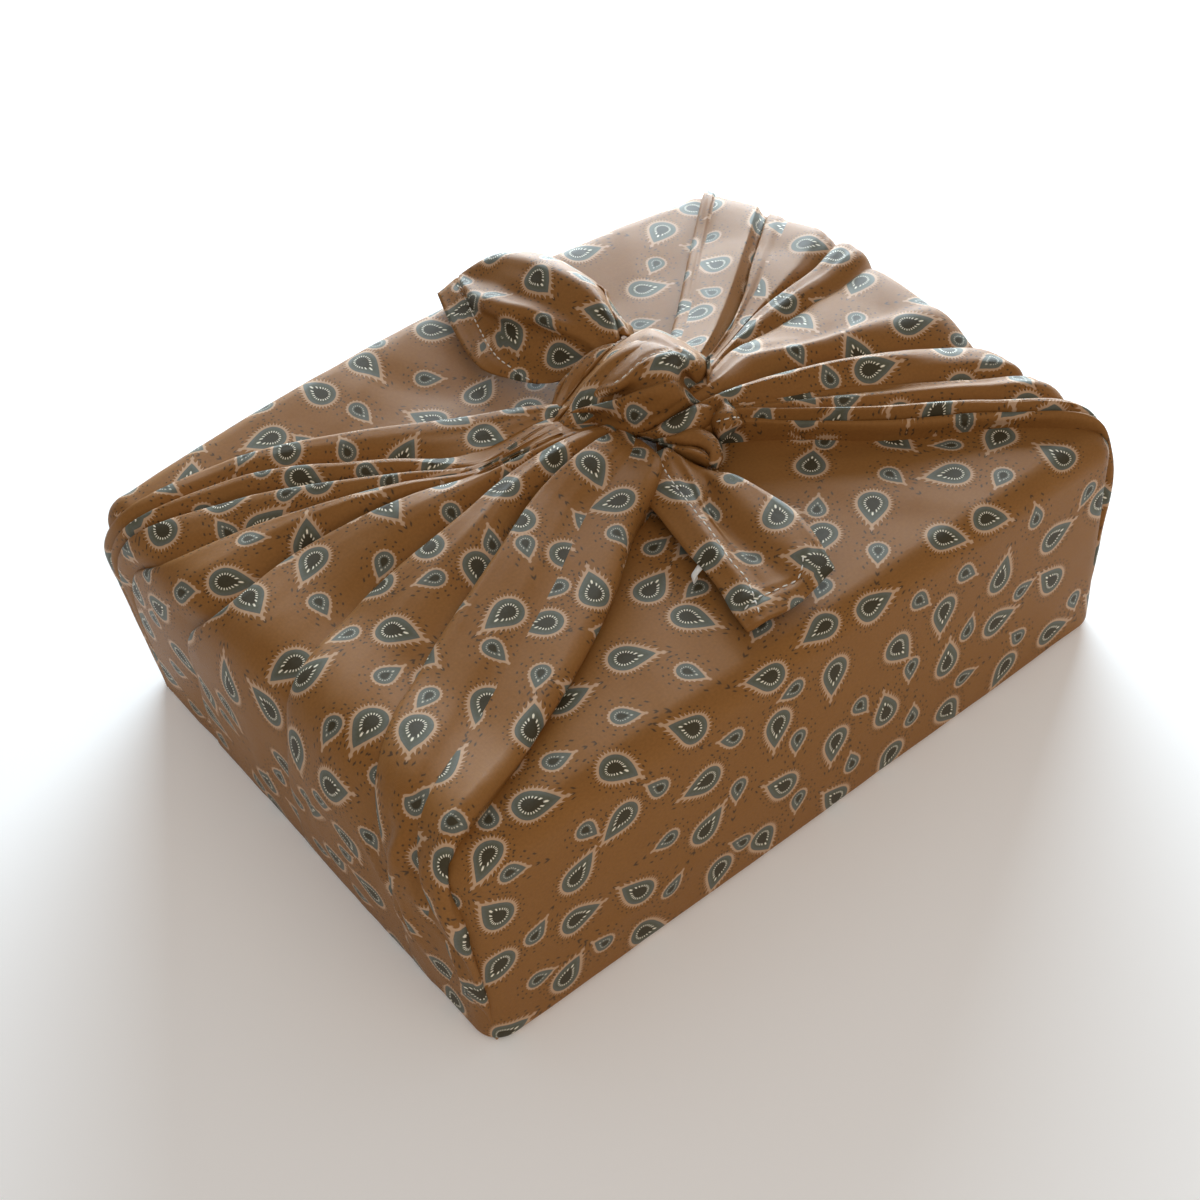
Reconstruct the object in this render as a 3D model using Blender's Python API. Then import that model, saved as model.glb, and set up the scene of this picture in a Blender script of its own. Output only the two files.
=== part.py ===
"""Furoshiki wrap: one square cotton cloth folded round a box and knotted on top.

Two opposite corners of the cloth lie flat over the top as taut panels. The other two
are gathered into fans of folds, pulled up over the ends and tied in one square knot,
which leaves two hemmed corner tails. Metres, +Z up, origin at the bottom centre.
"""
import math

import bmesh
import bpy
import numpy as np

MM = 0.001

# Driving dimensions, in millimetres
BUNDLE_LENGTH = 300.0     # along X, over the cloth
BUNDLE_WIDTH = 232.0      # along Y
BUNDLE_HEIGHT = 95.0      # the taut top panel, without the knot
END_ALLOWANCE = 3.0       # how far the gathered ends stand out past the taut panels
EDGE_RADIUS = 9.0         # cloth rounded over the top and the upright edges
FOOT_RADIUS = 4.0         # cloth rounded under the bottom edges
PANEL_CROWN = 1.2         # swell in the middle of the top panel
SIDE_CROWN = 2.0          # swell in the middle of the front and back panels
CLOTH_THICKNESS = 2.4     # a tail: the cloth with its turned hem

CORE_CELL = 15.0          # mesh pitch of the taut panels
BEND_SHARE = 0.42         # where a grid line crosses a rounded edge, as a share of it
FAN_STEPS = 3             # rows between two stations of a fan
KNOT_SIDES = 14           # points round a strand of the knot
KNOT_STEPS = 3            # rings between two sections of a strand

# The gathered fans. Each row is the crest of one fold, from the back of the wrap to
# its front. knot, near and far are places on the top (x, y, z); brow, shoulder, waist
# and foot are places along the end wall: y, carried on round the corner past the wall's
# edge. rise is how far the crest stands out of the fan, tuck how close the valley
# behind it lies (a share of the way to the fold before it), belly the swell of the
# slope in front of it.
FOLD_COLUMNS = ("name", "knot", "near", "far", "brow", "shoulder", "waist", "foot",
                "rise", "tuck", "belly")
LEFT_FOLDS = [
    ("rear", (2, 24, 110), (-58, 72, 101), (-103, 98, 98.5), 107, 119, 128, 131, 3.0, .30, .6),
    ("rear_mid", (-6, 19, 112), (-61, 47, 102.5), (-106, 80, 99), 97, 109, 121, 125, 3.4, .20, .4),
    ("narrow", (-9, 16, 112.5), (-62, 37, 103.5), (-109, 70, 99), 88, 100, 114, 119, 3.2, .28, .3),
    ("corner", (-11, 13, 113), (-64, 30, 104.5), (-112, 53, 99.5), 64, 84, 107, 111, 3.4, .26, .6),
    ("deep", (-12, 9, 113), (-62, 18, 105.5), (-108, 33, 100), 31, 40, 55, 64, 4.2, .22, 1.6),
    ("middle", (-10, 2, 113), (-60, -2, 106), (-108, -8, 100), -26, -28, -16, -8, 3.6, .22, 1.4),
    ("near", (-6, -5, 112.5), (-60, -23, 105.5), (-106, -47, 100), -75, -78, -76, -70, 3.2, .24, 2.6),
    ("front", (6, -24, 109.5), (-45, -57, 101.5), (-103, -89, 98), -106, -108, -114, -117, 2.6, .2, .5),
]
RIGHT_FOLDS = [
    ("rear", (42, 14, 108), (76, 42, 101.5), (114, 78, 98), 112, 119, 126, 131, 2.4, .5, 1.2),
    ("rear_edge", (46, 8, 110), (85, 30, 103), (122, 61, 99), 86, 95, 104, 108, 3.4, .55, .2),
    ("rear_lip", (47, 5, 110.5), (90, 25, 103), (128, 55, 99), 74, 80, 86, 92, 3.0, .25, .6),
    ("high", (48, 2, 111), (92, 20, 104), (130, 37, 99.5), 44, 48, 54, 60, 3.0, .3, .4),
    ("broad", (48, -1, 111.5), (94, 16, 104.5), (131, 26, 100), 25, 26, 30, 34, 3.6, .4, 1.4),
    ("lit", (48, -6, 112), (90, -4, 105), (128, -10, 100.5), -14, -12, -8, -6, 3.2, .4, 1.2),
    ("undercut", (47, -12, 112.5), (90, -26, 105.5), (122, -37, 100.5), -62, -58, -50, -46, 4.4, .3, .8),
    ("fine", (46, -16, 112), (88, -37, 104.5), (122, -52, 100), -80, -80, -76, -72, 2.0, .4, .6),
    ("roll", (44, -22, 111), (84, -56, 104), (120, -82, 100.5), -106, -108, -112, -116, 4.2, .4, 1.4),
]
EDGE_TURN_IN = 3.0        # how far a fan's rear edge reaches past its first crest
EDGE_REST = 0.9           # the share of it where the edge meets the panel
ROLL_WIDTH = 5.0          # the rounded front edge of a fan
ROLL_SHOULDER = 0.6       # the share of it where the roll turns down
ROLL_UNDERSIDE = 0.85     # and where it turns back under
EDGE_STEP = 1.5           # its underside, level with the panel it lies on
EDGE_DIP = 9.0            # how deep a fan's edges run into the taut panels
ROOT_SCALE = 0.7          # a fan's inner side: its skin drawn in towards this place
ROOT_CENTRE = (0.0, 0.0, 40.0)
VALLEY_SINK = 0.6         # a valley under the line between its two crests
HALFWAY = 0.5             # a slope's middle, and the height a straight slope has there
TOP_FACING = 0.9          # cloth that faces up by more than this lies on the top

# The strands of the knot: centre (x, y, z), half width, half height, turn in degrees
STRAND_COLUMNS = ("centre", "half_width", "half_height", "turn")
KNOT_STRANDS = {
    "over": [
        ((-14, 13, 109), 3.0, 3.5, 10), ((-4, 13, 112), 11.0, 8.0, 10),
        ((8, 14, 115), 19.0, 12.0, 8), ((21, 13, 117), 22.0, 14.0, 5),
        ((33, 9, 117), 20.0, 14.0, 0), ((42, 1, 113.5), 14.0, 11.0, -5),
        ((47, -6, 108), 6.0, 6.0, -10),
    ],
    "under": [
        ((-4, 6, 103), 4.0, 4.0, 0), ((4, -3, 105), 8.0, 7.0, 0),
        ((14, -13, 106), 9.0, 8.0, 0), ((26, -18, 107), 9.0, 8.0, 0),
        ((37, -18, 108.5), 8.0, 7.5, 0), ((45, -14, 110), 5.0, 5.0, 0),
    ],
    "loop": [
        ((42, -16, 103), 5.0, 5.0, 0), ((39, -25, 104), 7.5, 6.5, 0),
        ((31, -31, 104), 8.0, 6.5, 0), ((22, -34, 103.5), 8.5, 6.5, 0),
        ((13, -32, 103), 7.0, 6.0, 0), ((8, -26, 103), 4.5, 4.5, 0),
    ],
    "rising": [
        ((-13, 12, 104), 4.5, 4.5, 0), ((-6, 22, 108), 8.0, 7.0, 0),
        ((6, 30, 113), 9.0, 8.0, 0), ((20, 34, 117), 10.0, 8.0, 0),
        ((32, 32, 117), 8.0, 7.0, 0), ((40, 24, 112), 5.0, 5.0, 0),
    ],
    "pinch": [
        ((42, -22, 101), 6.0, 5.0, 0), ((46, -20, 106), 6.5, 4.5, 0),
        ((50, -16, 111), 4.5, 2.6, 0), ((52, -13, 115), 1.4, 1.0, 0),
    ],
}

# The two hemmed tails, as rows of points from the knot to the tip. The columns run
# across the cloth: hem edge, valley, belly, ridge and far edge.
BACK_TAIL = [
    ((22, 30, 112), (23, 28, 114), (25, 26, 118), (29, 25, 121), (33, 28, 117)),
    ((11, 40, 106), (16, 42, 110), (25, 45, 120), (37, 48, 126), (46, 55, 119)),
    ((2, 54, 103), (11, 61, 107), (20, 65, 118), (40, 79, 126), (49, 88, 117)),
    ((0, 75, 103), (8, 79, 107), (18, 85, 116), (35, 100, 121), (42, 108, 113)),
    ((3, 93, 105), (10, 97, 109), (16, 100, 113), (27, 107, 115), (33, 114, 109)),
    ((5, 105, 108), (8, 107, 110), (10, 108, 111), (13, 111, 111), (17, 114, 108)),
]
FRONT_TAIL = [
    ((6, -20, 105), (10, -24, 107), (14, -29, 106), (18, -36, 106), (22, -39, 105)),
    ((-3, -26, 103), (4, -35, 107), (11, -44, 101), (19, -54, 107), (27, -56, 103)),
    ((-6, -43, 101), (1, -55, 106), (5, -58, 100.5), (15, -72, 107), (27, -71, 102)),
    ((-11, -64, 100), (-2, -72, 105), (6, -74, 100.5), (13, -87, 106), (25, -88, 101)),
    ((-16, -84, 100), (-8, -89, 103), (3, -88, 101), (15, -97, 104), (24, -98, 101)),
    ((-20, -101, 99.5), (-12, -104, 101), (-4, -104, 100.5), (7, -105, 101), (22, -99, 100)),
]
TAIL_STEPS = 2            # mesh steps between two rows or columns of a tail

LABEL_SIZE = (8.0, 4.0, 1.0)          # length, width, thickness of the hem label
LABEL_PLACE = (-17.15, -67.2, 100.2)   # its centre, beside the front tail's hem
LABEL_TURN = 22.0

COTTON_BROWN = (0.30, 0.155, 0.075, 1.0)
LABEL_WHITE = (0.78, 0.76, 0.72, 1.0)


def clear_scene():
    for old in list(bpy.data.objects):
        bpy.data.objects.remove(old, do_unlink=True)


def material(name, colour, roughness):
    made = bpy.data.materials.new(name)
    made.use_nodes = True
    shader = made.node_tree.nodes["Principled BSDF"]
    shader.inputs["Base Color"].default_value = colour
    shader.inputs["Roughness"].default_value = roughness
    shader.inputs["Metallic"].default_value = 0.0
    return made


def add_object(name, points_mm, faces, finish):
    """A mesh object from points in millimetres, its normals turned outwards."""
    mesh = bpy.data.meshes.new(name)
    mesh.from_pydata([tuple(MM * float(c) for c in p) for p in points_mm], [], faces)
    shape = bmesh.new()
    shape.from_mesh(mesh)
    bmesh.ops.remove_doubles(shape, verts=shape.verts, dist=0.00001)
    bmesh.ops.recalc_face_normals(shape, faces=shape.faces)
    shape.to_mesh(mesh)
    shape.free()
    made = bpy.data.objects.new(name, mesh)
    bpy.context.scene.collection.objects.link(made)
    mesh.materials.append(finish)
    return made


def as_cutter(piece):
    piece.hide_render = True
    piece.display_type = "WIRE"
    return piece


def smooth_curve(keys, steps):
    """A smooth curve through keys, stations whose last axis starts with x, y, z."""
    keys = np.asarray(keys, float)
    gaps = np.linalg.norm(np.diff(keys[..., :3], axis=0), axis=-1)
    gaps = gaps.reshape(len(keys) - 1, -1).mean(axis=1)
    slopes = np.diff(keys, axis=0) / gaps.reshape(-1, *[1] * (keys.ndim - 1))
    tangents = np.empty_like(keys)
    tangents[0], tangents[-1] = slopes[0], slopes[-1]
    for k in range(1, len(keys) - 1):
        before, after = gaps[k - 1], gaps[k]
        tangents[k] = (after * slopes[k - 1] + before * slopes[k]) / (before + after)
    rows = []
    for k in range(len(keys) - 1):
        for step in range(steps):
            t = step / steps
            rows.append((2 * t**3 - 3 * t**2 + 1) * keys[k]
                        + (t**3 - 2 * t**2 + t) * gaps[k] * tangents[k]
                        + (3 * t**2 - 2 * t**3) * keys[k + 1]
                        + (t**3 - t**2) * gaps[k] * tangents[k + 1])
    rows.append(keys[-1])
    return np.array(rows)


# The taut panels: a rounded box with a slight swell

def cell_edges(low, high, radius_low, radius_high):
    """Grid lines between low and high, close together over the rounded ends."""
    inner_low, inner_high = low + radius_low, high - radius_high
    cells = max(2, round((inner_high - inner_low) / CORE_CELL))
    middle = np.linspace(inner_low, inner_high, cells + 1)
    return np.array([low, low + BEND_SHARE * radius_low, *middle,
                     high - BEND_SHARE * radius_high, high])


def taut_panels():
    half = np.array([BUNDLE_LENGTH / 2 - END_ALLOWANCE, BUNDLE_WIDTH / 2])
    spans = [cell_edges(-half[0], half[0], EDGE_RADIUS, EDGE_RADIUS),
             cell_edges(-half[1], half[1], EDGE_RADIUS, EDGE_RADIUS),
             cell_edges(0.0, BUNDLE_HEIGHT, FOOT_RADIUS, EDGE_RADIUS)]
    points, faces = [], []
    for across in range(3):
        first, second = [axis for axis in range(3) if axis != across]
        for side in (0, -1):
            start = len(points)
            for a in spans[first]:
                for b in spans[second]:
                    place = [0.0, 0.0, 0.0]
                    place[across], place[first], place[second] = spans[across][side], a, b
                    points.append(rounded(place, half))
            count = len(spans[second])
            for i in range(len(spans[first]) - 1):
                for j in range(count - 1):
                    corner = start + i * count + j
                    faces.append((corner, corner + 1, corner + count + 1, corner + count))
    return points, faces


def rounded(place, half):
    """A point of a sharp box moved onto the rounded and swollen one."""
    x, y, z = place
    radius = EDGE_RADIUS if z > BUNDLE_HEIGHT / 2 else FOOT_RADIUS
    low = np.array([-half[0] + EDGE_RADIUS, -half[1] + EDGE_RADIUS, FOOT_RADIUS])
    high = np.array([half[0] - EDGE_RADIUS, half[1] - EDGE_RADIUS, BUNDLE_HEIGHT - EDGE_RADIUS])
    inner = np.clip(place, low, high)
    offset = np.array(place) - inner
    reach = np.array([EDGE_RADIUS, EDGE_RADIUS, radius])
    share = offset / reach
    length = max(1e-9, np.linalg.norm(share))
    moved = inner + reach * share / length if length > 1e-6 else np.array(place, float)
    u, v, w = x / half[0], y / half[1], 2 * z / BUNDLE_HEIGHT - 1
    swell = max(0.0, 1 - u * u)
    if z >= BUNDLE_HEIGHT - 1e-6:
        moved[2] += PANEL_CROWN * swell * max(0.0, 1 - v * v)
    if abs(y) >= half[1] - 1e-6:
        moved[1] += math.copysign(SIDE_CROWN * swell * max(0.0, 1 - w * w), y)
    return moved


# The fans of folds over the two ends

def wall_place(along, inset, side):
    """A point on the end wall, or round its corner, and the way it faces."""
    half_length, half_width = BUNDLE_LENGTH / 2, BUNDLE_WIDTH / 2
    straight = half_width - EDGE_RADIUS
    turn = EDGE_RADIUS * math.pi / 2
    past = abs(along) - straight
    way = math.copysign(1.0, along)
    if past <= 0:
        place, facing = (half_length, along), (1.0, 0.0)
    elif past <= turn:
        angle = past / EDGE_RADIUS
        facing = (math.cos(angle), way * math.sin(angle))
        place = (half_length - EDGE_RADIUS + EDGE_RADIUS * facing[0],
                 way * straight + EDGE_RADIUS * facing[1])
    else:
        facing = (0.0, way)
        place = (half_length - EDGE_RADIUS - (past - turn), way * half_width)
    return (np.array([side * (place[0] - inset * facing[0]), place[1] - inset * facing[1]]),
            np.array([side * facing[0], facing[1]]))


# height on the wall, how far inside the wall's face, and how far the face leans up
WALL_STATIONS = {
    "brow": (BUNDLE_HEIGHT - 0.8, 4.0, 60.0),
    "shoulder": (BUNDLE_HEIGHT - 13.0, 0.0, 8.0),
    "waist": (46.0, 0.0, 0.0),
    "foot": (2.0, 4.6, -30.0),
}
FADE = {"knot": 0.8, "near": 1.15, "far": 1.0, "brow": 0.7, "shoulder": 0.5,
        "waist": 0.4, "foot": 0.2}


def crest_line(fold, side):
    """The stations of one fold's crest, with the way that the cloth faces at each."""
    row = dict(zip(FOLD_COLUMNS, fold))
    places, facings = [], []
    for station in ("knot", "near", "far"):
        places.append(np.array(row[station], float))
        facings.append(np.array([0.0, 0.0, 1.0]))
    for station, (height, inset, lean) in WALL_STATIONS.items():
        flat, out = wall_place(row[station], inset, side)
        tilt = math.radians(lean)
        places.append(np.array([flat[0], flat[1], height]))
        facings.append(np.array([*(out * math.cos(tilt)), math.sin(tilt)]))
    return np.array(places), np.array(facings)


def along_skin(step, facings):
    """The direction of a step between two lines, kept square to the way they face."""
    level = step - (step * facings).sum(axis=1, keepdims=True) * facings
    return level / np.linalg.norm(level, axis=1, keepdims=True)


def inward(places, facings):
    """The way into the cloth: straight down on the top, towards the middle on the walls."""
    level = np.array(ROOT_CENTRE) - places
    level[:, 2] = 0.0
    level /= np.linalg.norm(level, axis=1, keepdims=True)
    return np.where(facings[:, 2:] > TOP_FACING, -facings, level)


def fan_grids(folds, side):
    """The skin of a fan and its inner side, rows from the knot to the foot."""
    lines = [crest_line(fold, side) for fold in folds]
    fade = np.array([FADE[name] for name in ("knot", "near", "far", *WALL_STATIONS)])[:, None]
    rows = [dict(zip(FOLD_COLUMNS, fold)) for fold in folds]
    columns = []          # pairs: place along the fan, and how far the skin lies off it

    places, facings = lines[0]
    rearward = along_skin(places - lines[1][0], facings)
    columns.append((places + EDGE_TURN_IN * rearward, EDGE_DIP * inward(places, facings)))
    columns.append((places + EDGE_REST * EDGE_TURN_IN * rearward, 0.0 * facings))
    for i, (places, facings) in enumerate(lines):
        if i:
            valley = places + rows[i]["tuck"] * (lines[i - 1][0] - places)
            columns.append((valley, -VALLEY_SINK * fade * facings))
        columns.append((places, rows[i]["rise"] * fade * facings))
        if i + 1 < len(lines):
            after = lines[i + 1][0]
            slope_foot = after + rows[i + 1]["tuck"] * (places - after)
            lift = (HALFWAY * rows[i]["rise"] + rows[i]["belly"]) * fade
            columns.append((HALFWAY * (places + slope_foot), lift * facings))
    places, facings = lines[-1]
    forward = along_skin(places - lines[-2][0], facings)
    width = ROLL_WIDTH * fade
    columns.append((places + ROLL_SHOULDER * width * forward,
                    HALFWAY * rows[-1]["rise"] * fade * facings))
    columns.append((places + ROLL_UNDERSIDE * width * forward,
                    EDGE_STEP * inward(places, facings)))
    columns.append((places + width * forward, EDGE_DIP * inward(places, facings)))

    stations = np.array([np.hstack(column) for column in columns]).transpose(1, 0, 2)
    curve = smooth_curve(stations, FAN_STEPS)
    flat, lift = curve[..., :3], curve[..., 3:]
    return flat + lift, ROOT_CENTRE + ROOT_SCALE * (flat - ROOT_CENTRE)


def grid_faces(rows, columns, start=0, flip=False):
    faces = []
    for i in range(rows - 1):
        for j in range(columns - 1):
            a = start + i * columns + j
            face = (a, a + 1, a + columns + 1, a + columns)
            faces.append(face[::-1] if flip else face)
    return faces


def slab(upper, lower):
    """The closed faces between two grids of the same size."""
    rows, columns = upper.shape[:2]
    count = rows * columns
    faces = grid_faces(rows, columns) + grid_faces(rows, columns, count, flip=True)
    rim = [(0, j) for j in range(columns)]
    rim += [(i, columns - 1) for i in range(1, rows)]
    rim += [(rows - 1, j) for j in range(columns - 2, -1, -1)]
    rim += [(i, 0) for i in range(rows - 2, 0, -1)]
    for k, (i, j) in enumerate(rim):
        m, n = rim[(k + 1) % len(rim)]
        a, b = i * columns + j, m * columns + n
        faces.append((a, b, b + count, a + count))
    return np.concatenate([upper.reshape(-1, 3), lower.reshape(-1, 3)]), faces


def fan(folds, side):
    return slab(*fan_grids(folds, side))


# The knot and its tails

def strand(sections):
    """A closed roll of cloth through oval sections, drawn in at both ends."""
    rows = [dict(zip(STRAND_COLUMNS, section)) for section in sections]
    keys = np.array([[*row["centre"], row["half_width"], row["half_height"], row["turn"]]
                     for row in rows])
    curve = smooth_curve(keys, KNOT_STEPS)
    places, sizes = curve[:, :3], curve[:, 3:]
    heading = np.gradient(places, axis=0)
    heading /= np.linalg.norm(heading, axis=1, keepdims=True)
    across = np.cross(heading, [0.0, 0.0, 1.0])
    across /= np.linalg.norm(across, axis=1, keepdims=True)
    above = np.cross(across, heading)
    points, faces = [], []
    for place, size, right, up in zip(places, sizes, across, above):
        turn = math.radians(size[2])
        for k in range(KNOT_SIDES):
            angle = 2 * math.pi * k / KNOT_SIDES
            a = size[0] * math.cos(angle)
            b = size[1] * math.sin(angle)
            points.append(place + right * (a * math.cos(turn) - b * math.sin(turn))
                          + up * (a * math.sin(turn) + b * math.cos(turn)))
    last = len(places) - 1
    for i in range(last):
        for k in range(KNOT_SIDES):
            n = (k + 1) % KNOT_SIDES
            a = i * KNOT_SIDES
            faces.append((a + k, a + n, a + KNOT_SIDES + n, a + KNOT_SIDES + k))
    faces.append(tuple(range(KNOT_SIDES))[::-1])
    faces.append(tuple(last * KNOT_SIDES + k for k in range(KNOT_SIDES)))
    return points, faces


def tail(rows):
    """A sheet through a table of points, with its thickness on both sides."""
    grid = smooth_curve(np.array(rows, float), TAIL_STEPS)
    grid = smooth_curve(grid.transpose(1, 0, 2), TAIL_STEPS).transpose(1, 0, 2)
    facing = np.cross(np.gradient(grid, axis=1), np.gradient(grid, axis=0))
    facing /= np.linalg.norm(facing, axis=2, keepdims=True)
    facing *= np.sign(facing[..., 2:].sum())
    side = CLOTH_THICKNESS / 2 * facing
    return slab(grid + side, grid - side)


def wrap_cloth(finish):
    cloth = add_object("wrap_cloth", *taut_panels(), finish)
    pieces = {"left_fan": fan(LEFT_FOLDS, -1), "right_fan": fan(RIGHT_FOLDS, 1)}
    for name, sections in KNOT_STRANDS.items():
        pieces["knot_" + name] = strand(sections)
    pieces["back_tail"] = tail(BACK_TAIL)
    pieces["front_tail"] = tail(FRONT_TAIL)
    for name, (points, faces) in pieces.items():
        part = as_cutter(add_object(name, points, faces, finish))
        join = cloth.modifiers.new("join_" + name, "BOOLEAN")
        join.operation = "UNION"
        join.solver = "EXACT"
        join.object = part
    cloth.data.shade_smooth()
    cloth.data.set_sharp_from_angle(angle=math.radians(40))
    return cloth


def hem_label(finish):
    length, width, thickness = LABEL_SIZE
    corners = [(x * length / 2, y * width / 2, z * thickness / 2)
               for x in (-1, 1) for y in (-1, 1) for z in (-1, 1)]
    faces = [(0, 1, 3, 2), (4, 6, 7, 5), (0, 4, 5, 1), (2, 3, 7, 6), (0, 2, 6, 4), (1, 5, 7, 3)]
    label = add_object("hem_label", corners, faces, finish)
    label.location = [MM * c for c in LABEL_PLACE]
    label.rotation_euler = (0.0, 0.0, math.radians(LABEL_TURN))
    return label


def build():
    clear_scene()
    wrap_cloth(material("printed_cotton", COTTON_BROWN, 0.85))
    hem_label(material("label_tape", LABEL_WHITE, 0.7))


build()
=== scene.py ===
import math

import bmesh
import bpy
import numpy as np
from mathutils import Matrix, Vector, noise


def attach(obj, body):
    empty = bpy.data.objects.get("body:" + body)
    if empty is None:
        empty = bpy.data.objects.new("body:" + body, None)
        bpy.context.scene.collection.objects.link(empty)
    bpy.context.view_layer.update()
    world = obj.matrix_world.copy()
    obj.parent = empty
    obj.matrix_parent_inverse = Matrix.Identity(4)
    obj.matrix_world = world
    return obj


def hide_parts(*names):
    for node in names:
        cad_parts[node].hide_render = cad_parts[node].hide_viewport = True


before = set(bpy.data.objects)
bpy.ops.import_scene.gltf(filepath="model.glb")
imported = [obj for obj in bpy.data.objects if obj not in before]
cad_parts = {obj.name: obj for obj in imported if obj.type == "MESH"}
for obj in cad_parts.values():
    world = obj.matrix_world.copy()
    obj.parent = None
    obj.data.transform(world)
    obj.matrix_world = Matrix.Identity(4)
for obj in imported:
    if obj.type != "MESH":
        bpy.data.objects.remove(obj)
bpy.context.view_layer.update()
mm = 0.001
print("frame loaded")


# Camera, light and floor

view = {
    "lens": 55.74,
    "sensor": 36.0,
    "place": (-0.2919, -0.4267, 0.5351),
    "turn": (45.353, 4.773, -38.452),
    "lit": (0, 0, 0.05),        # where the lights point
    # place, size, power, colour
    "lights": {
        "window": ((0.80, 0.82, 0.34), (1.1, 0.5), 42.0, (0.76, 0.90, 1.0)),
        "fill": ((-0.3, -1.2, 1.2), (1.4, 1.4), 6.5, (1.0, 0.80, 0.58)),
    },
    "sky": {"Color": (1.0, 0.98, 0.97, 1), "Strength": 0.43},
    "floorSize": 12,
    "floor": {"Base Color": (0.93, 0.93, 0.93, 1), "Roughness": 0.75,
              "Emission Color": (0.93, 0.93, 0.93, 1), "Emission Strength": 0.08},
}


def dial(inputs, values):
    for name, value in values.items():
        inputs[name].default_value = value


def newMaterial(name):
    made = bpy.data.materials.new(name)
    made.use_nodes = True
    return made, made.node_tree.nodes["Principled BSDF"].inputs


def setCamera():
    bpy.ops.object.camera_add(location=view["place"],
                              rotation=[math.radians(a) for a in view["turn"]])
    camera = bpy.context.object
    camera.data.lens = view["lens"]
    camera.data.sensor_width = view["sensor"]
    camera.data.sensor_fit = "HORIZONTAL"
    bpy.context.scene.camera = camera


def setLight(name, place, size, power, colour):
    bpy.ops.object.light_add(type="AREA", location=place)
    light = bpy.context.object
    light.name = name
    light.data.shape = "RECTANGLE"
    light.data.size, light.data.size_y = size
    light.data.energy, light.data.color = power, colour
    aim = Vector(view["lit"]) - Vector(place)
    light.rotation_euler = aim.to_track_quat("-Z", "Y").to_euler()


def setRoom():
    sky = bpy.data.worlds.new("room")
    sky.use_nodes = True
    dial(sky.node_tree.nodes["Background"].inputs, view["sky"])
    bpy.context.scene.world = sky
    bpy.context.scene.view_settings.view_transform = "Standard"
    bpy.ops.mesh.primitive_plane_add(size=view["floorSize"])
    floor = bpy.context.object
    floor.name = "floor"
    paint, inputs = newMaterial("pale_floor")
    dial(inputs, view["floor"])
    floor.data.materials.append(paint)


setCamera()
for name, settings in view["lights"].items():
    setLight(name, *settings)
setRoom()
print("camera, light and floor set")


# Shader maths

class Wire:
    def __init__(self, tree, socket=None):
        self.tree, self.socket = tree, socket

    def node(self, kind, inputs, output=0, **settings):
        made = self.tree.nodes.new(kind)
        for name, value in settings.items():
            setattr(made, name, value)
        for name, value in inputs.items():
            if isinstance(value, Wire):
                self.tree.links.new(value.socket, made.inputs[name])
            else:
                made.inputs[name].default_value = value
        return Wire(self.tree, made.outputs[output])

    def maths(self, operation, *terms):
        return self.node("ShaderNodeMath", dict(enumerate(terms)), operation=operation)

    def vector(self, operation, other):
        return self.node("ShaderNodeVectorMath", {0: self, 1: other}, operation=operation)

    def axis(self, number):
        return self.node("ShaderNodeSeparateXYZ", {0: self}, number)

    def noise(self, **dials):
        return self.node("ShaderNodeTexNoise", {"Vector": self, **dials})

    def __abs__(self):
        return self.maths("ABSOLUTE", self)

    def under(self, level, softness):          # 1 below the level, 0 above it
        return self.node("ShaderNodeClamp", {0: (level - self) * (1 / softness) + 0.5})

    def over(self, level, softness):
        return 1 - self.under(level, softness)

    def ring(self, level, width, softness):
        return abs(self - level).under(width, softness)

    def waves(self, count, level, softness, shift=0):
        return self.maths("COSINE", self * count + shift).over(level, softness)

    def toothed(self, bearing, points, depth, power):
        wave = 1 - abs(self.maths("SINE", bearing * (points / 2)))
        return self - wave ** power * depth

    def mixed(self, first, second, amount=None, **settings):   # colours
        return self.node("ShaderNodeMix", {0: amount or self, 6: first, 7: second}, 2,
                         data_type="RGBA", **settings)

    def bump(self, strength):
        return self.node("ShaderNodeBump", {"Height": self, "Distance": 1.0,
                                            "Strength": strength})

    def feed(self, socket):
        self.tree.links.new(self.socket, socket)


for sign, operation in {"add": "ADD", "sub": "SUBTRACT", "mul": "MULTIPLY", "truediv": "DIVIDE",
                        "pow": "POWER"}.items():
    setattr(Wire, f"__{sign}__", lambda a, b, kind=operation: a.maths(kind, a, b))
    setattr(Wire, f"__r{sign}__", lambda a, b, kind=operation: a.maths(kind, b, a))


# Printed cotton: the paisley drops are charted by cells, two sizes of them

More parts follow.
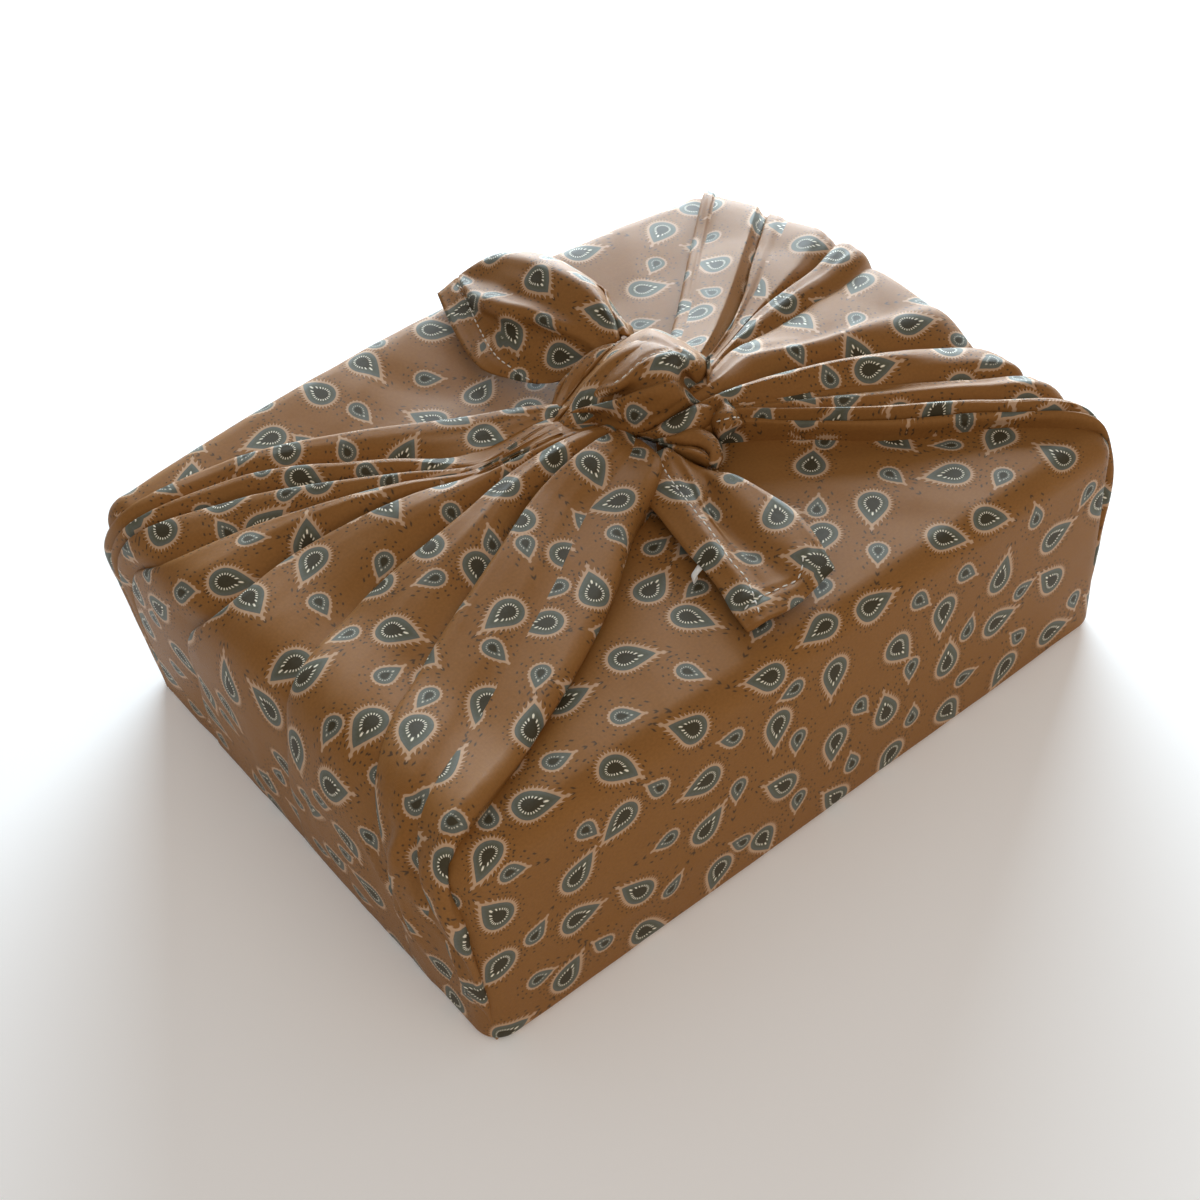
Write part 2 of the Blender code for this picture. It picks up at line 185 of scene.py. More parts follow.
printed = {
    "pitch": 0.0285,            # from one large drop to the next, metres
    "looseness": 0.42,
    "smallShift": (0.5, 0.5, 0.0),
    "smallLooseness": 0.25,
    "smallRoom": (0.43, 0.001), # a small drop needs this much room, in pitches
    "largeRadius": 0.0053,      # of the round end
    "smallRadius": 0.0034,
    "middle": 0.44,             # of the round end, from the cell's spot, in radii
    "turns": 5,
    "tipReach": 0.98,
    "tipSharpness": 7.6,
    # the little knob past a large drop's tip: its place, its radius, how soft its edge is
    "stalk": (0.0130, 0.0008, 0.0005),
    # shapes in radii; last comes how soft the edge is
    "body": (1.0, 0.04),
    "rim": (0.80, 0.22),
    "heart": (0.53, 0.05),
    "halo": (1.17, 0.05),
    "teeth": (34, 0.25, 1.6),   # how many, how deep, how pointed
    "dotRing": (0.54, 0.075, 0.05),
    "dots": (20, 0.35, 0.5),
    "fleckRings": ((1.45, 0.055, 0.05), (1.70, 0.055, 0.05)),
    "flecks": (21, 0.72, 0.35),
    "smallBody": (1.0, 0.08),
    "smallHeart": (0.38, 0.12),
    "smallHalo": (1.20, 0.08),
    "smallTeeth": (20, 0.14, 1),
    "smallDotRing": (0.55, 0.05, 0.08),
    "smallDots": (15, 0.2, 0.9),
    "smallDotStrength": 0.7,
    "smallFleckRings": ((1.75, 0.09, 0.08), (2.3, 0.09, 0.08)),
    "smallFlecks": (13, 0.68, 0.35),
    "ground": (0.278, 0.126, 0.034),
    "groundDark": (0.245, 0.106, 0.027),
    "bodyColour": (0.108, 0.109, 0.077),
    "rimColour": (0.130, 0.136, 0.112),
    "haloColour": (0.510, 0.330, 0.205),
    "heartColour": (0.056, 0.047, 0.027),
    "dotColour": (0.88, 0.83, 0.68),
    "fleckColour": (0.085, 0.048, 0.022),
    "wander": {"Scale": 55.0, "Detail": 3.0, "Roughness": 0.6},
    "slub": {"Scale": 900.0, "Detail": 2.0},
    "worn": (0.82, 0.35, 0.05), # least tone, how much the slubs and the weave add
    "weavePitch": 0.00055,
    "weaveDepth": 0.00004,
    "crumple": {"Scale": 70.0, "Detail": 4.0, "Distortion": 0.6},
    "crumpleDepth": 0.00025,
    "bump": 0.7,
    "roughness": (0.44, 0.08),
    "gloss": 0.11,
}


def dropShape(offset, turn, radius):
    # how many radii of a pointed drop a place lies from its middle, its bearing, the knob
    lie = offset.node("ShaderNodeVectorRotate", {"Vector": offset, "Angle": turn},
                      rotation_type="Z_AXIS")
    x, y = lie.axis(0) + printed["middle"] * radius, lie.axis(1)
    bearing = x.maths("ARCTAN2", y, x)
    point = (1 - abs(bearing) * (1 / math.pi)) ** printed["tipSharpness"]
    *scaled, knobEdge = printed["stalk"]
    stalk, knob = (part * radius / printed["largeRadius"] for part in scaled)
    beyond = x - stalk
    knob = ((beyond * beyond + y * y) ** 0.5).under(knob, knobEdge)
    reach = (x * x + y * y) ** 0.5
    return reach / ((1 + point * printed["tipReach"]) * radius), bearing, knob


def printedCotton():
    made, inputs = newMaterial("printed_cotton_cloth")
    place = Wire(made.node_tree).node("ShaderNodeUVMap", {}, uv_map="cloth")
    pitch = printed["pitch"]
    cells = place.vector("MULTIPLY", (1 / pitch, 1 / pitch, 0))

    def spot(vector, looseness, output):
        return vector.node("ShaderNodeTexVoronoi", {"Vector": vector, "Scale": 1.0,
                                                    "Randomness": looseness},
                           output, voronoi_dimensions="2D")

    def drops(vector, looseness, radius):
        middle = spot(vector, looseness, "Position")
        offset = vector.vector("SUBTRACT", middle).vector("MULTIPLY", (pitch, pitch, 0))
        chance = vector.node("ShaderNodeSeparateColor", {0: spot(vector, looseness, "Color")})
        turn = chance * (2 * math.pi * printed["turns"])
        return *dropShape(offset, turn, radius), middle

    large, bearing, largeKnob, _ = drops(cells, printed["looseness"], printed["largeRadius"])
    shifted = cells.vector("ADD", printed["smallShift"])
    small, smallBearing, smallKnob, middle = drops(shifted, printed["smallLooseness"],
                                                   printed["smallRadius"])
    unshifted = middle.vector("SUBTRACT", printed["smallShift"])
    room = spot(unshifted, printed["looseness"], "Distance").over(*printed["smallRoom"])

    body = large.under(*printed["body"])
    inner, outer = printed["fleckRings"]
    flecks = (large.ring(*inner) * bearing.waves(*printed["flecks"])
              + large.ring(*outer) * bearing.waves(*printed["flecks"], math.pi))
    smallBody = small.under(*printed["smallBody"]) * room
    smallDots = small.ring(*printed["smallDotRing"]) * smallBearing.waves(*printed["smallDots"])
    inner, outer = printed["smallFleckRings"]
    smallFlecks = ((small.ring(*inner) + small.ring(*outer))
                   * smallBearing.waves(*printed["smallFlecks"]) * room)

    thread = 2 * math.pi / printed["weavePitch"]
    weave = (place.maths("SINE", place.axis(0) * thread)
             * place.maths("SINE", place.axis(1) * thread))
    slub = place.noise(**printed["slub"])
    colour = place.noise(**printed["wander"]).mixed((*printed["groundDark"], 1),
                                                    (*printed["ground"], 1))
    for mask, name in (
            (flecks, "fleckColour"), (smallFlecks, "fleckColour"),
            (small.toothed(smallBearing, *printed["smallTeeth"]).under(*printed["smallHalo"])
             * room, "haloColour"),
            (smallKnob * room, "haloColour"), (largeKnob, "haloColour"),
            (smallBody, "rimColour"),
            (small.under(*printed["smallHeart"]) * room, "heartColour"),
            (smallDots * smallBody * printed["smallDotStrength"], "dotColour"),
            (large.toothed(bearing, *printed["teeth"]).under(*printed["halo"]), "haloColour"),
            (body, "bodyColour"), (body * large.over(*printed["rim"]), "rimColour"),
            (large.under(*printed["heart"]), "heartColour"),
            (large.ring(*printed["dotRing"]) * bearing.waves(*printed["dots"]) * body,
             "dotColour")):
        colour = mask.mixed(colour, (*printed[name], 1))
    least, slubShare, weaveShare = printed["worn"]
    worn = slub * slubShare + least + weave * weaveShare
    grey = worn.node("ShaderNodeCombineColor", {0: worn, 1: worn, 2: worn})
    worn.mixed(colour, grey, 1.0, blend_type="MULTIPLY").feed(inputs["Base Color"])
    roughness, spread = printed["roughness"]
    (slub * spread + roughness).feed(inputs["Roughness"])
    crumple = place.noise(**printed["crumple"])
    height = weave * printed["weaveDepth"] + crumple * printed["crumpleDepth"]
    height.bump(printed["bump"]).feed(inputs["Normal"])
    inputs["Specular IOR Level"].default_value = printed["gloss"]
    return made


plain = {
    "darkest": 0.8,
    "roughnessSpread": 0.2,
    "depth": 0.0002,
    # name, colour, roughness, how fine the grain is
    "thread": ("stitch_cotton", (0.80, 0.77, 0.70), 0.6, 3000.0),
    "tape": ("woven_tape", (0.78, 0.76, 0.72), 0.7, 1500.0),
}


def plainCloth(name, colour, roughness, grain):
    made, inputs = newMaterial(name)
    place = Wire(made.node_tree).node("ShaderNodeTexCoord", {}, "Object")
    fibres = place.noise(Scale=grain, Detail=3.0)
    dark = [plain["darkest"] * c for c in colour]
    fibres.mixed((*dark, 1), (*colour, 1)).feed(inputs["Base Color"])
    spread = plain["roughnessSpread"]
    (fibres * spread + (roughness - spread / 2)).feed(inputs["Roughness"])
    (fibres * plain["depth"]).bump(1.0).feed(inputs["Normal"])
    return made


cotton = printedCotton()
threadWhite = plainCloth(*plain["thread"])
tapeWhite = plainCloth(*plain["tape"])
print("materials made")


# Sheet building

def unit(vectors):
    return vectors / np.maximum(np.linalg.norm(vectors, axis=-1, keepdims=True), 1e-9)


def lengths(points, axis=0):           # how far along the line each point lies
    steps = np.linalg.norm(np.diff(points, axis=axis), axis=-1)
    return np.concatenate([0 * steps.take([0], axis), np.cumsum(steps, axis=axis)], axis=axis)


def smoothCurve(keys, steps):          # through stations whose last axis starts x, y, z
    keys = np.asarray(keys, float)
    column = (-1, *[1] * (keys.ndim - 1))
    gaps = np.linalg.norm(np.diff(keys[..., :3], axis=0), axis=-1)
    gaps = gaps.reshape(len(keys) - 1, -1).mean(axis=1).reshape(column)
    slopes = np.diff(keys, axis=0) / gaps
    inner = (gaps[1:] * slopes[:-1] + gaps[:-1] * slopes[1:]) / (gaps[:-1] + gaps[1:])
    leaning = gaps * np.concatenate([slopes[:1], inner])
    arriving = gaps * np.concatenate([inner, slopes[-1:]])
    t = (np.arange(steps) / steps).reshape(column)
    rows = [(2 * t**3 - 3 * t**2 + 1) * keys[k] + (t**3 - 2 * t**2 + t) * leaning[k]
            + (3 * t**2 - 2 * t**3) * keys[k + 1] + (t**3 - t**2) * arriving[k]
            for k in range(len(keys) - 1)]
    return np.concatenate([*rows, keys[-1:]])


def gridFacings(grid):
    return unit(np.cross(np.gradient(grid, axis=1), np.gradient(grid, axis=0)))


def roll(points, scale, seed):         # smooth noise at many places, in millimetres
    places = points.reshape(-1, 3) / scale + (seed, 0, 0)
    values = [noise.noise(place) for place in places.tolist()]
    return np.reshape(values, points.shape[:-1])


def uneven(grid, facings, amount, seed):
    # the small ups and downs, 34 and 11 mm wide, of any cloth that has been folded before
    lift = roll(grid, 34, seed) + 0.35 * roll(grid, 11, seed + 40)
    return grid + facings * (amount * lift)[..., None]


def trough(away, halfWidth, share, depth, fade):
    # a soft crease, by the distance from it and the share of its length, faded at its ends
    ends = np.sin(np.pi * (fade + (1 - 2 * fade) * share)) ** 0.6
    return (depth * ends * np.exp(-(away / halfWidth) ** 2))[..., None]


def pressCreases(points, facings, creases):
    for start, end, halfWidth, depth in creases:
        run = np.subtract(end, start)
        share = np.clip(((points - start) @ run) / (run @ run), 0, 1)
        away = np.linalg.norm(points - start - share[..., None] * run, axis=-1)
        points = points + facings * trough(away, halfWidth, share, depth, 0.08)
    return points


def gridFaces(shape, uvLeft, uvRight, flip, first=0):
    # uvLeft and uvRight: the print's place at the two sides of each column of faces
    faces, uvs = [], []
    for i in range(shape[0] - 1):
        for j in range(shape[1] - 1):
            a = first + i * shape[1] + j
            face = [a, a + 1, a + shape[1] + 1, a + shape[1]]
            corners = [uvLeft[i, j], uvRight[i, j], uvRight[i + 1, j], uvLeft[i + 1, j]]
            faces.append(face[::-1] if flip else face)
            uvs.append(corners[::-1] if flip else corners)
    return faces, uvs


def newPiece(name, mesh, material):
    piece = bpy.data.objects.new(name, mesh)
    bpy.context.scene.collection.objects.link(piece)
    mesh.materials.append(material)
    return piece


def finishPiece(piece):
    piece.data.shade_smooth()
    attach(piece, "root")


def clothPiece(name, points, faces, uvs, thickness, finish=cotton, node="wrap_cloth",
               slot="printed_cotton"):
    mesh = bpy.data.meshes.new(name)
    mesh.from_pydata((points.reshape(-1, 3) * mm).tolist(), [], faces)
    layer = mesh.uv_layers.new(name="cloth")
    layer.data.foreach_set("uv", (np.asarray(uvs).reshape(-1) * mm).tolist())
    shape = bmesh.new()
    shape.from_mesh(mesh)
    bmesh.ops.remove_doubles(shape, verts=shape.verts, dist=0.02 * mm)
    shape.to_mesh(mesh)
    shape.free()
    piece = newPiece(name, mesh, finish)
    if thickness:
        wall = piece.modifiers.new("thickness", "SOLIDIFY")
        wall.thickness = thickness * mm
        wall.offset = -1.0
        bpy.context.view_layer.objects.active = piece
        bpy.ops.object.modifier_apply(modifier="thickness")
    finishPiece(piece)
    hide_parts(node)
    return piece


def gridPiece(name, grid, uvLeft, uvRight, thickness, flip=False, **dress):
    return clothPiece(name, grid, *gridFaces(grid.shape, uvLeft, uvRight, flip), thickness,
                      **dress)


flatRounds = {"draped": 160, "fan": 60}


def layFlat(grid, uv, rounds):
    # the print's places drawn into line with the cloth's true lengths, as springs would
    links = []
    for di, dj in ((0, 1), (1, 0), (1, 1), (1, -1)):
        rows, columns = grid.shape[0] - di, grid.shape[1] - abs(dj)
        for start in (0, 1):
            i = np.arange(rows)[start::2] if di else np.arange(rows)
            j = np.arange(columns) if di else np.arange(columns)[start::2]
            i, j = np.meshgrid(i, j + (dj < 0), indexing="ij")
            length = np.linalg.norm(grid[i + di, j + dj] - grid[i, j], axis=-1)
            links.append((i, j, i + di, j + dj, length))
    for _ in range(rounds):
        for i, j, k, m, length in links:
            gap = uv[k, m] - uv[i, j]
            now = np.maximum(np.linalg.norm(gap, axis=-1), 1e-6)
            shift = gap * (0.45 * (1 - length / now))[..., None]
            uv[i, j] += shift
            uv[k, m] -= shift
    return uv


def lieOn(grid, turns, steps):
    # places along a line drawn on the sheet by its rows and columns of keys
    path = smoothCurve([(*turn, 0.0) for turn in turns], 30)[:, :2] * steps
    path = np.clip(path, 0, np.array(grid.shape[:2]) - 1.001)
    i, j = path.astype(int).T
    p, q = (path % 1).T[..., None]
    return ((1 - p) * (1 - q) * grid[i, j] + (1 - p) * q * grid[i, j + 1]
            + p * (1 - q) * grid[i + 1, j] + p * q * grid[i + 1, j + 1])


sewing = {
    "size": (2.3, 0.6, 0.5),
    "gap": 1.0,
    "reach": 0.8,               # how far each way a stitch takes its heading from
    "proud": 0.1,
    "sides": 8,
    "rings": 6,
    # how the cloth sinks under the thread and swells beside it: depth, place, half width
    "sink": (0.45, 0.0, 1.3),
    "swell": (0.25, 2.6, 1.2),
}


def sewSeam(name, points, ups):        # one running stitch after another
    run = lengths(points)
    pitch = sewing["size"][0] + sewing["gap"]
    shape = bmesh.new()

    def at(values, place):
        return np.array([np.interp(place, run, values[:, c]) for c in range(3)])

    for k in range(int(run[-1] / pitch)):
        middle = (k + 0.5) * pitch
        along = unit(at(points, middle + sewing["reach"]) - at(points, middle - sewing["reach"]))
        side = unit(np.cross(at(ups, middle), along))
        up = np.cross(along, side)
        place = (at(points, middle) + sewing["proud"] * up) * mm
        turn = Matrix([*np.column_stack([along, side, up, place]), (0, 0, 0, 1)])
        bmesh.ops.create_uvsphere(shape, u_segments=sewing["sides"], radius=0.5 * mm,
                                  v_segments=sewing["rings"],
                                  matrix=turn @ Matrix.Diagonal((*sewing["size"], 1)))
    mesh = bpy.data.meshes.new(name)
    shape.to_mesh(mesh)
    shape.free()
    finishPiece(newPiece(name, mesh, threadWhite))


def drapedPiece(name, table, seed, held="gathered", **dress):
    # a sheet through rows of points, creased, with its sewn lines a little sunk
    grid, steps = np.array(table["sheets"][name], float), table["steps"]
    for _ in range(2):
        grid = smoothCurve(grid, steps).transpose(1, 0, 2)
    facings = gridFacings(grid)
    upward = facings[..., 2].sum() > 0
    facings = facings if upward else -facings
    grid = uneven(grid, facings, table["unevenness"], seed)
    for turns, halfWidth, depth in table["creases"].get(name, ()):
        line = lieOn(grid, turns, steps)
        away = np.linalg.norm(grid[:, :, None] - line, axis=-1)
        share = away.argmin(axis=2) / len(line)
        grid = grid + facings * trough(away.min(axis=2), halfWidth, share, depth, 0.1)
    seams = table["seams"].get(name, ())
    for line in [lieOn(grid, turns, steps) for turns in seams]:
        away = np.linalg.norm(grid[:, :, None] - line, axis=-1).min(axis=2)
        sink, swell = (depth * np.exp(-((away - place) / halfWidth) ** 2)
                       for depth, place, halfWidth in (sewing["sink"], sewing["swell"]))
        grid = grid - facings * (sink - swell)[..., None]
    for number, turns in enumerate(seams):
        sewSeam(f"stitches_{name}_{number}", lieOn(grid, turns, steps),
                lieOn(facings, turns, steps))
    middle = grid.shape[1] // 2
    across = lengths(grid, 1)
    across -= across[:, middle:middle + 1]
    belly = grid[:, middle]
    heading = unit(np.gradient(belly, axis=0))
    lean = heading * unit(grid[:, middle + 1] - grid[:, middle - 1])
    lean = lean.sum(axis=1, keepdims=True)
    uv = np.stack([across * np.sqrt(1 - lean**2), lengths(belly)[:, None] + across * lean], -1)
    uv = layFlat(grid, uv, flatRounds["draped"]) + seed * 31.0
    piece = gridPiece(name, grid, uv[:, :-1], uv[:, 1:], table["thickness"], flip=not upward,
                      **dress)
    cells = np.cross(grid[1:, 1:] - grid[:-1, :-1], grid[1:, :-1] - grid[:-1, 1:])
    area = 0.5 * np.linalg.norm(cells, axis=2).sum()
    width = max(10, round(across[:, -1].max() - across[:, 0].min()))
    length = max(10, round(lengths(grid)[-1].max()))
    share = min(1.0, max(0.35, area / (width * length)))
    print(name, "cut from", width, "x", length, "mm")
    share * width * length * mm * mm


# The taut panels

panels = {
    "length": 300.0,
    "width": 232.0,
    "height": 95.0,
    "endAllowance": 3.0,
    "edgeRadius": 9.0,
    "footRadius": 4.0,
    "crown": 1.2,
    "sideCrown": 2.0,
    # how far the back edge puffs up, and out, over what width, and how far short of the ends
    "rim": (6.0, 4.0, 46.0, 12.0),
    "cell": 3.2,
    "seam": 14.0,               # where the two panels meet, under the knot
    "endStrip": 34.0,           # how far they go round onto the end walls
    "thickness": 0.8,
    "unevenness": 0.35,
    "underUnevenness": 0.4,
    "underShift": (60.0, 340.0),
    "frontShift": (3.0, 7.0),
    "backShift": (151.0, 77.0),
    # start, end, half width, depth
    "frontCreases": [
        ((-96, -117, 42), (-82, -117, 8), 5, -0.9),
        ((-88, -117, 60), (-70, -117, 22), 6, 0.8),
        ((-110, -117, 22), (-60, -117, 26), 5, 0.7),
        ((-124, -117, 48), (-104, -117, 19), 4, 0.8),
        ((44, -30, 96), (140, -106, 96), 7, -2.4),
        ((-30, -46, 96), (-130, -106, 96), 6, -2.0),
        ((40, -50, 95), (80, -108, 95), 7, 0.7),
        ((-30, -60, 95), (-60, -112, 95), 8, 0.8),
        ((-8, -70, 95), (-22, -116, 88), 7, -0.7),
    ],
    "backCreases": [
        ((-60, 84, 95), (-20, 106, 95), 4, 0.9),
        ((20, 40, 95), (60, 110, 95), 6, 0.8),
        ((-10, 60, 95), (-40, 112, 95), 7, -0.7),
        ((70, 60, 95), (104, 112, 95), 5, 0.7),
    ],
}


halfLength, halfWidth = panels["length"] / 2 - panels["endAllowance"], panels["width"] / 2
height, edge, foot = panels["height"], panels["edgeRadius"], panels["footRadius"]


def domed(share):
    return np.maximum(0, 1 - share ** 2)


def cellEdges(low, high, radius):      # closer together round the edges
    count = max(2, round((high - low - radius - edge) / panels["cell"]))
    bends = np.array([0.0, 0.1, 0.22, 0.36, 0.52, 0.7, 0.86])
    return np.array([*(low + radius * bends),
                     *np.linspace(low + radius, high - edge, count + 1),
                     *(high - edge * bends[::-1])])


def withinBox(place):                  # the nearest place inside the rounded edges
    return np.clip(place, (edge - halfLength, edge - halfWidth, foot),
                   (halfLength - edge, halfWidth - edge, height - edge))


def roundedBox(place):
    # points of a sharp box moved onto the rounded and swollen one
    inner = withinBox(place)
    reach = np.full(place.shape, edge)
    reach[..., 2] = np.where(place[..., 2] > height / 2, edge, foot)
    share = (place - inner) / reach
    length = np.maximum(np.linalg.norm(share, axis=-1, keepdims=True), 1e-9)
    moved = np.where(length > 1e-6, inner + reach * share / length, place)
    u, v, w = (place / (halfLength, halfWidth, height / 2) - (0, 0, 1)).transpose(2, 0, 1)
    moved[..., 2] += (w > 1 - 1e-6) * panels["crown"] * domed(u) * domed(v)
    moved[..., 1] += ((abs(v) > 1 - 1e-6) * np.sign(v) * panels["sideCrown"] * domed(u)
                      * domed(w))
    return moved


def panelPiece(name, way, creases, shift, seed):
    # way is -1 for the front and 1 for the back; v runs from the top down the side
    xs, zs = cellEdges(-halfLength, halfLength, edge), cellEdges(0, height, foot)
    deep, start = cellEdges(0, halfWidth, 0.01), way * panels["seam"]
    ys = np.unique(np.clip(deep, max(start, 0), None))
    if start < 0:
        ys = np.concatenate([np.arange(start, 0, panels["cell"]), ys])
    ends = np.unique(np.clip(deep, halfWidth - panels["endStrip"], None))
    points, faces, uvs = [], [], []

    def patch(across, down, placed, flip):
        place, uv = (np.stack(np.broadcast_arrays(*part), -1)
                     for part in placed(*np.meshgrid(across, down, indexing="ij")))
        more = gridFaces(place.shape, uv[:, :-1], uv[:, 1:], flip, len(points))
        points.extend(place.reshape(-1, 3))
        faces.extend(more[0])
        uvs.extend(more[1])

    patch(xs, ys, lambda x, y: ((x, way * y, height), (x, y)), way < 0)
    patch(xs, zs, lambda x, z: ((x, way * halfWidth, z), (x, halfWidth + height - z)), way > 0)
    for side in (-1, 1):
        patch(ends, zs, lambda y, z: ((side * halfLength, way * y, z),
                                      (side * (halfLength + halfWidth - y),
                                       halfWidth + height - z)), side * way < 0)
    sharp = np.array([points])
    facings = unit(sharp - withinBox(sharp))
    moved = uneven(roundedBox(sharp), facings, panels["unevenness"], seed)
    moved = pressCreases(moved, facings, creases)
    up, out, reach, short = panels["rim"]
    near = np.clip((sharp[..., 1] - halfWidth + reach) / reach, 0, 1)
    near = near * near * (3 - 2 * near) * (sharp[..., 2] / height) ** 2
    near *= domed(sharp[..., 0] / (halfLength - short))
    moved += near[..., None] * (0, out, up)
    uvs = np.array(uvs) * (1, way) + shift
    return clothPiece(name, moved, faces, uvs, panels["thickness"])


def underPiece():
    x, y = np.meshgrid(cellEdges(-halfLength, halfLength, edge),
                       cellEdges(-halfWidth, halfWidth, edge), indexing="ij")
    grid = roundedBox(np.stack([x, y, x * 0], -1))
    lift = uneven(grid, np.array((0, 0, 1)), panels["underUnevenness"], 91.0)
    inside = (np.abs(x) < halfLength - edge) & (np.abs(y) < halfWidth - edge)
    grid[..., 2] = np.where(inside, np.maximum(lift[..., 2], 0), grid[..., 2])
    uv = np.stack([x, y], -1) + panels["underShift"]
    return gridPiece("under_panel", grid, uv[:, :-1], uv[:, 1:], panels["thickness"])


frontPanel = panelPiece("front_panel", -1, panels["frontCreases"], panels["frontShift"], 3.0)
backPanel = panelPiece("back_panel", 1, panels["backCreases"], panels["backShift"], 17.0)
underPanel = underPiece()
print("taut panels made")


# The gathered fans over the two ends

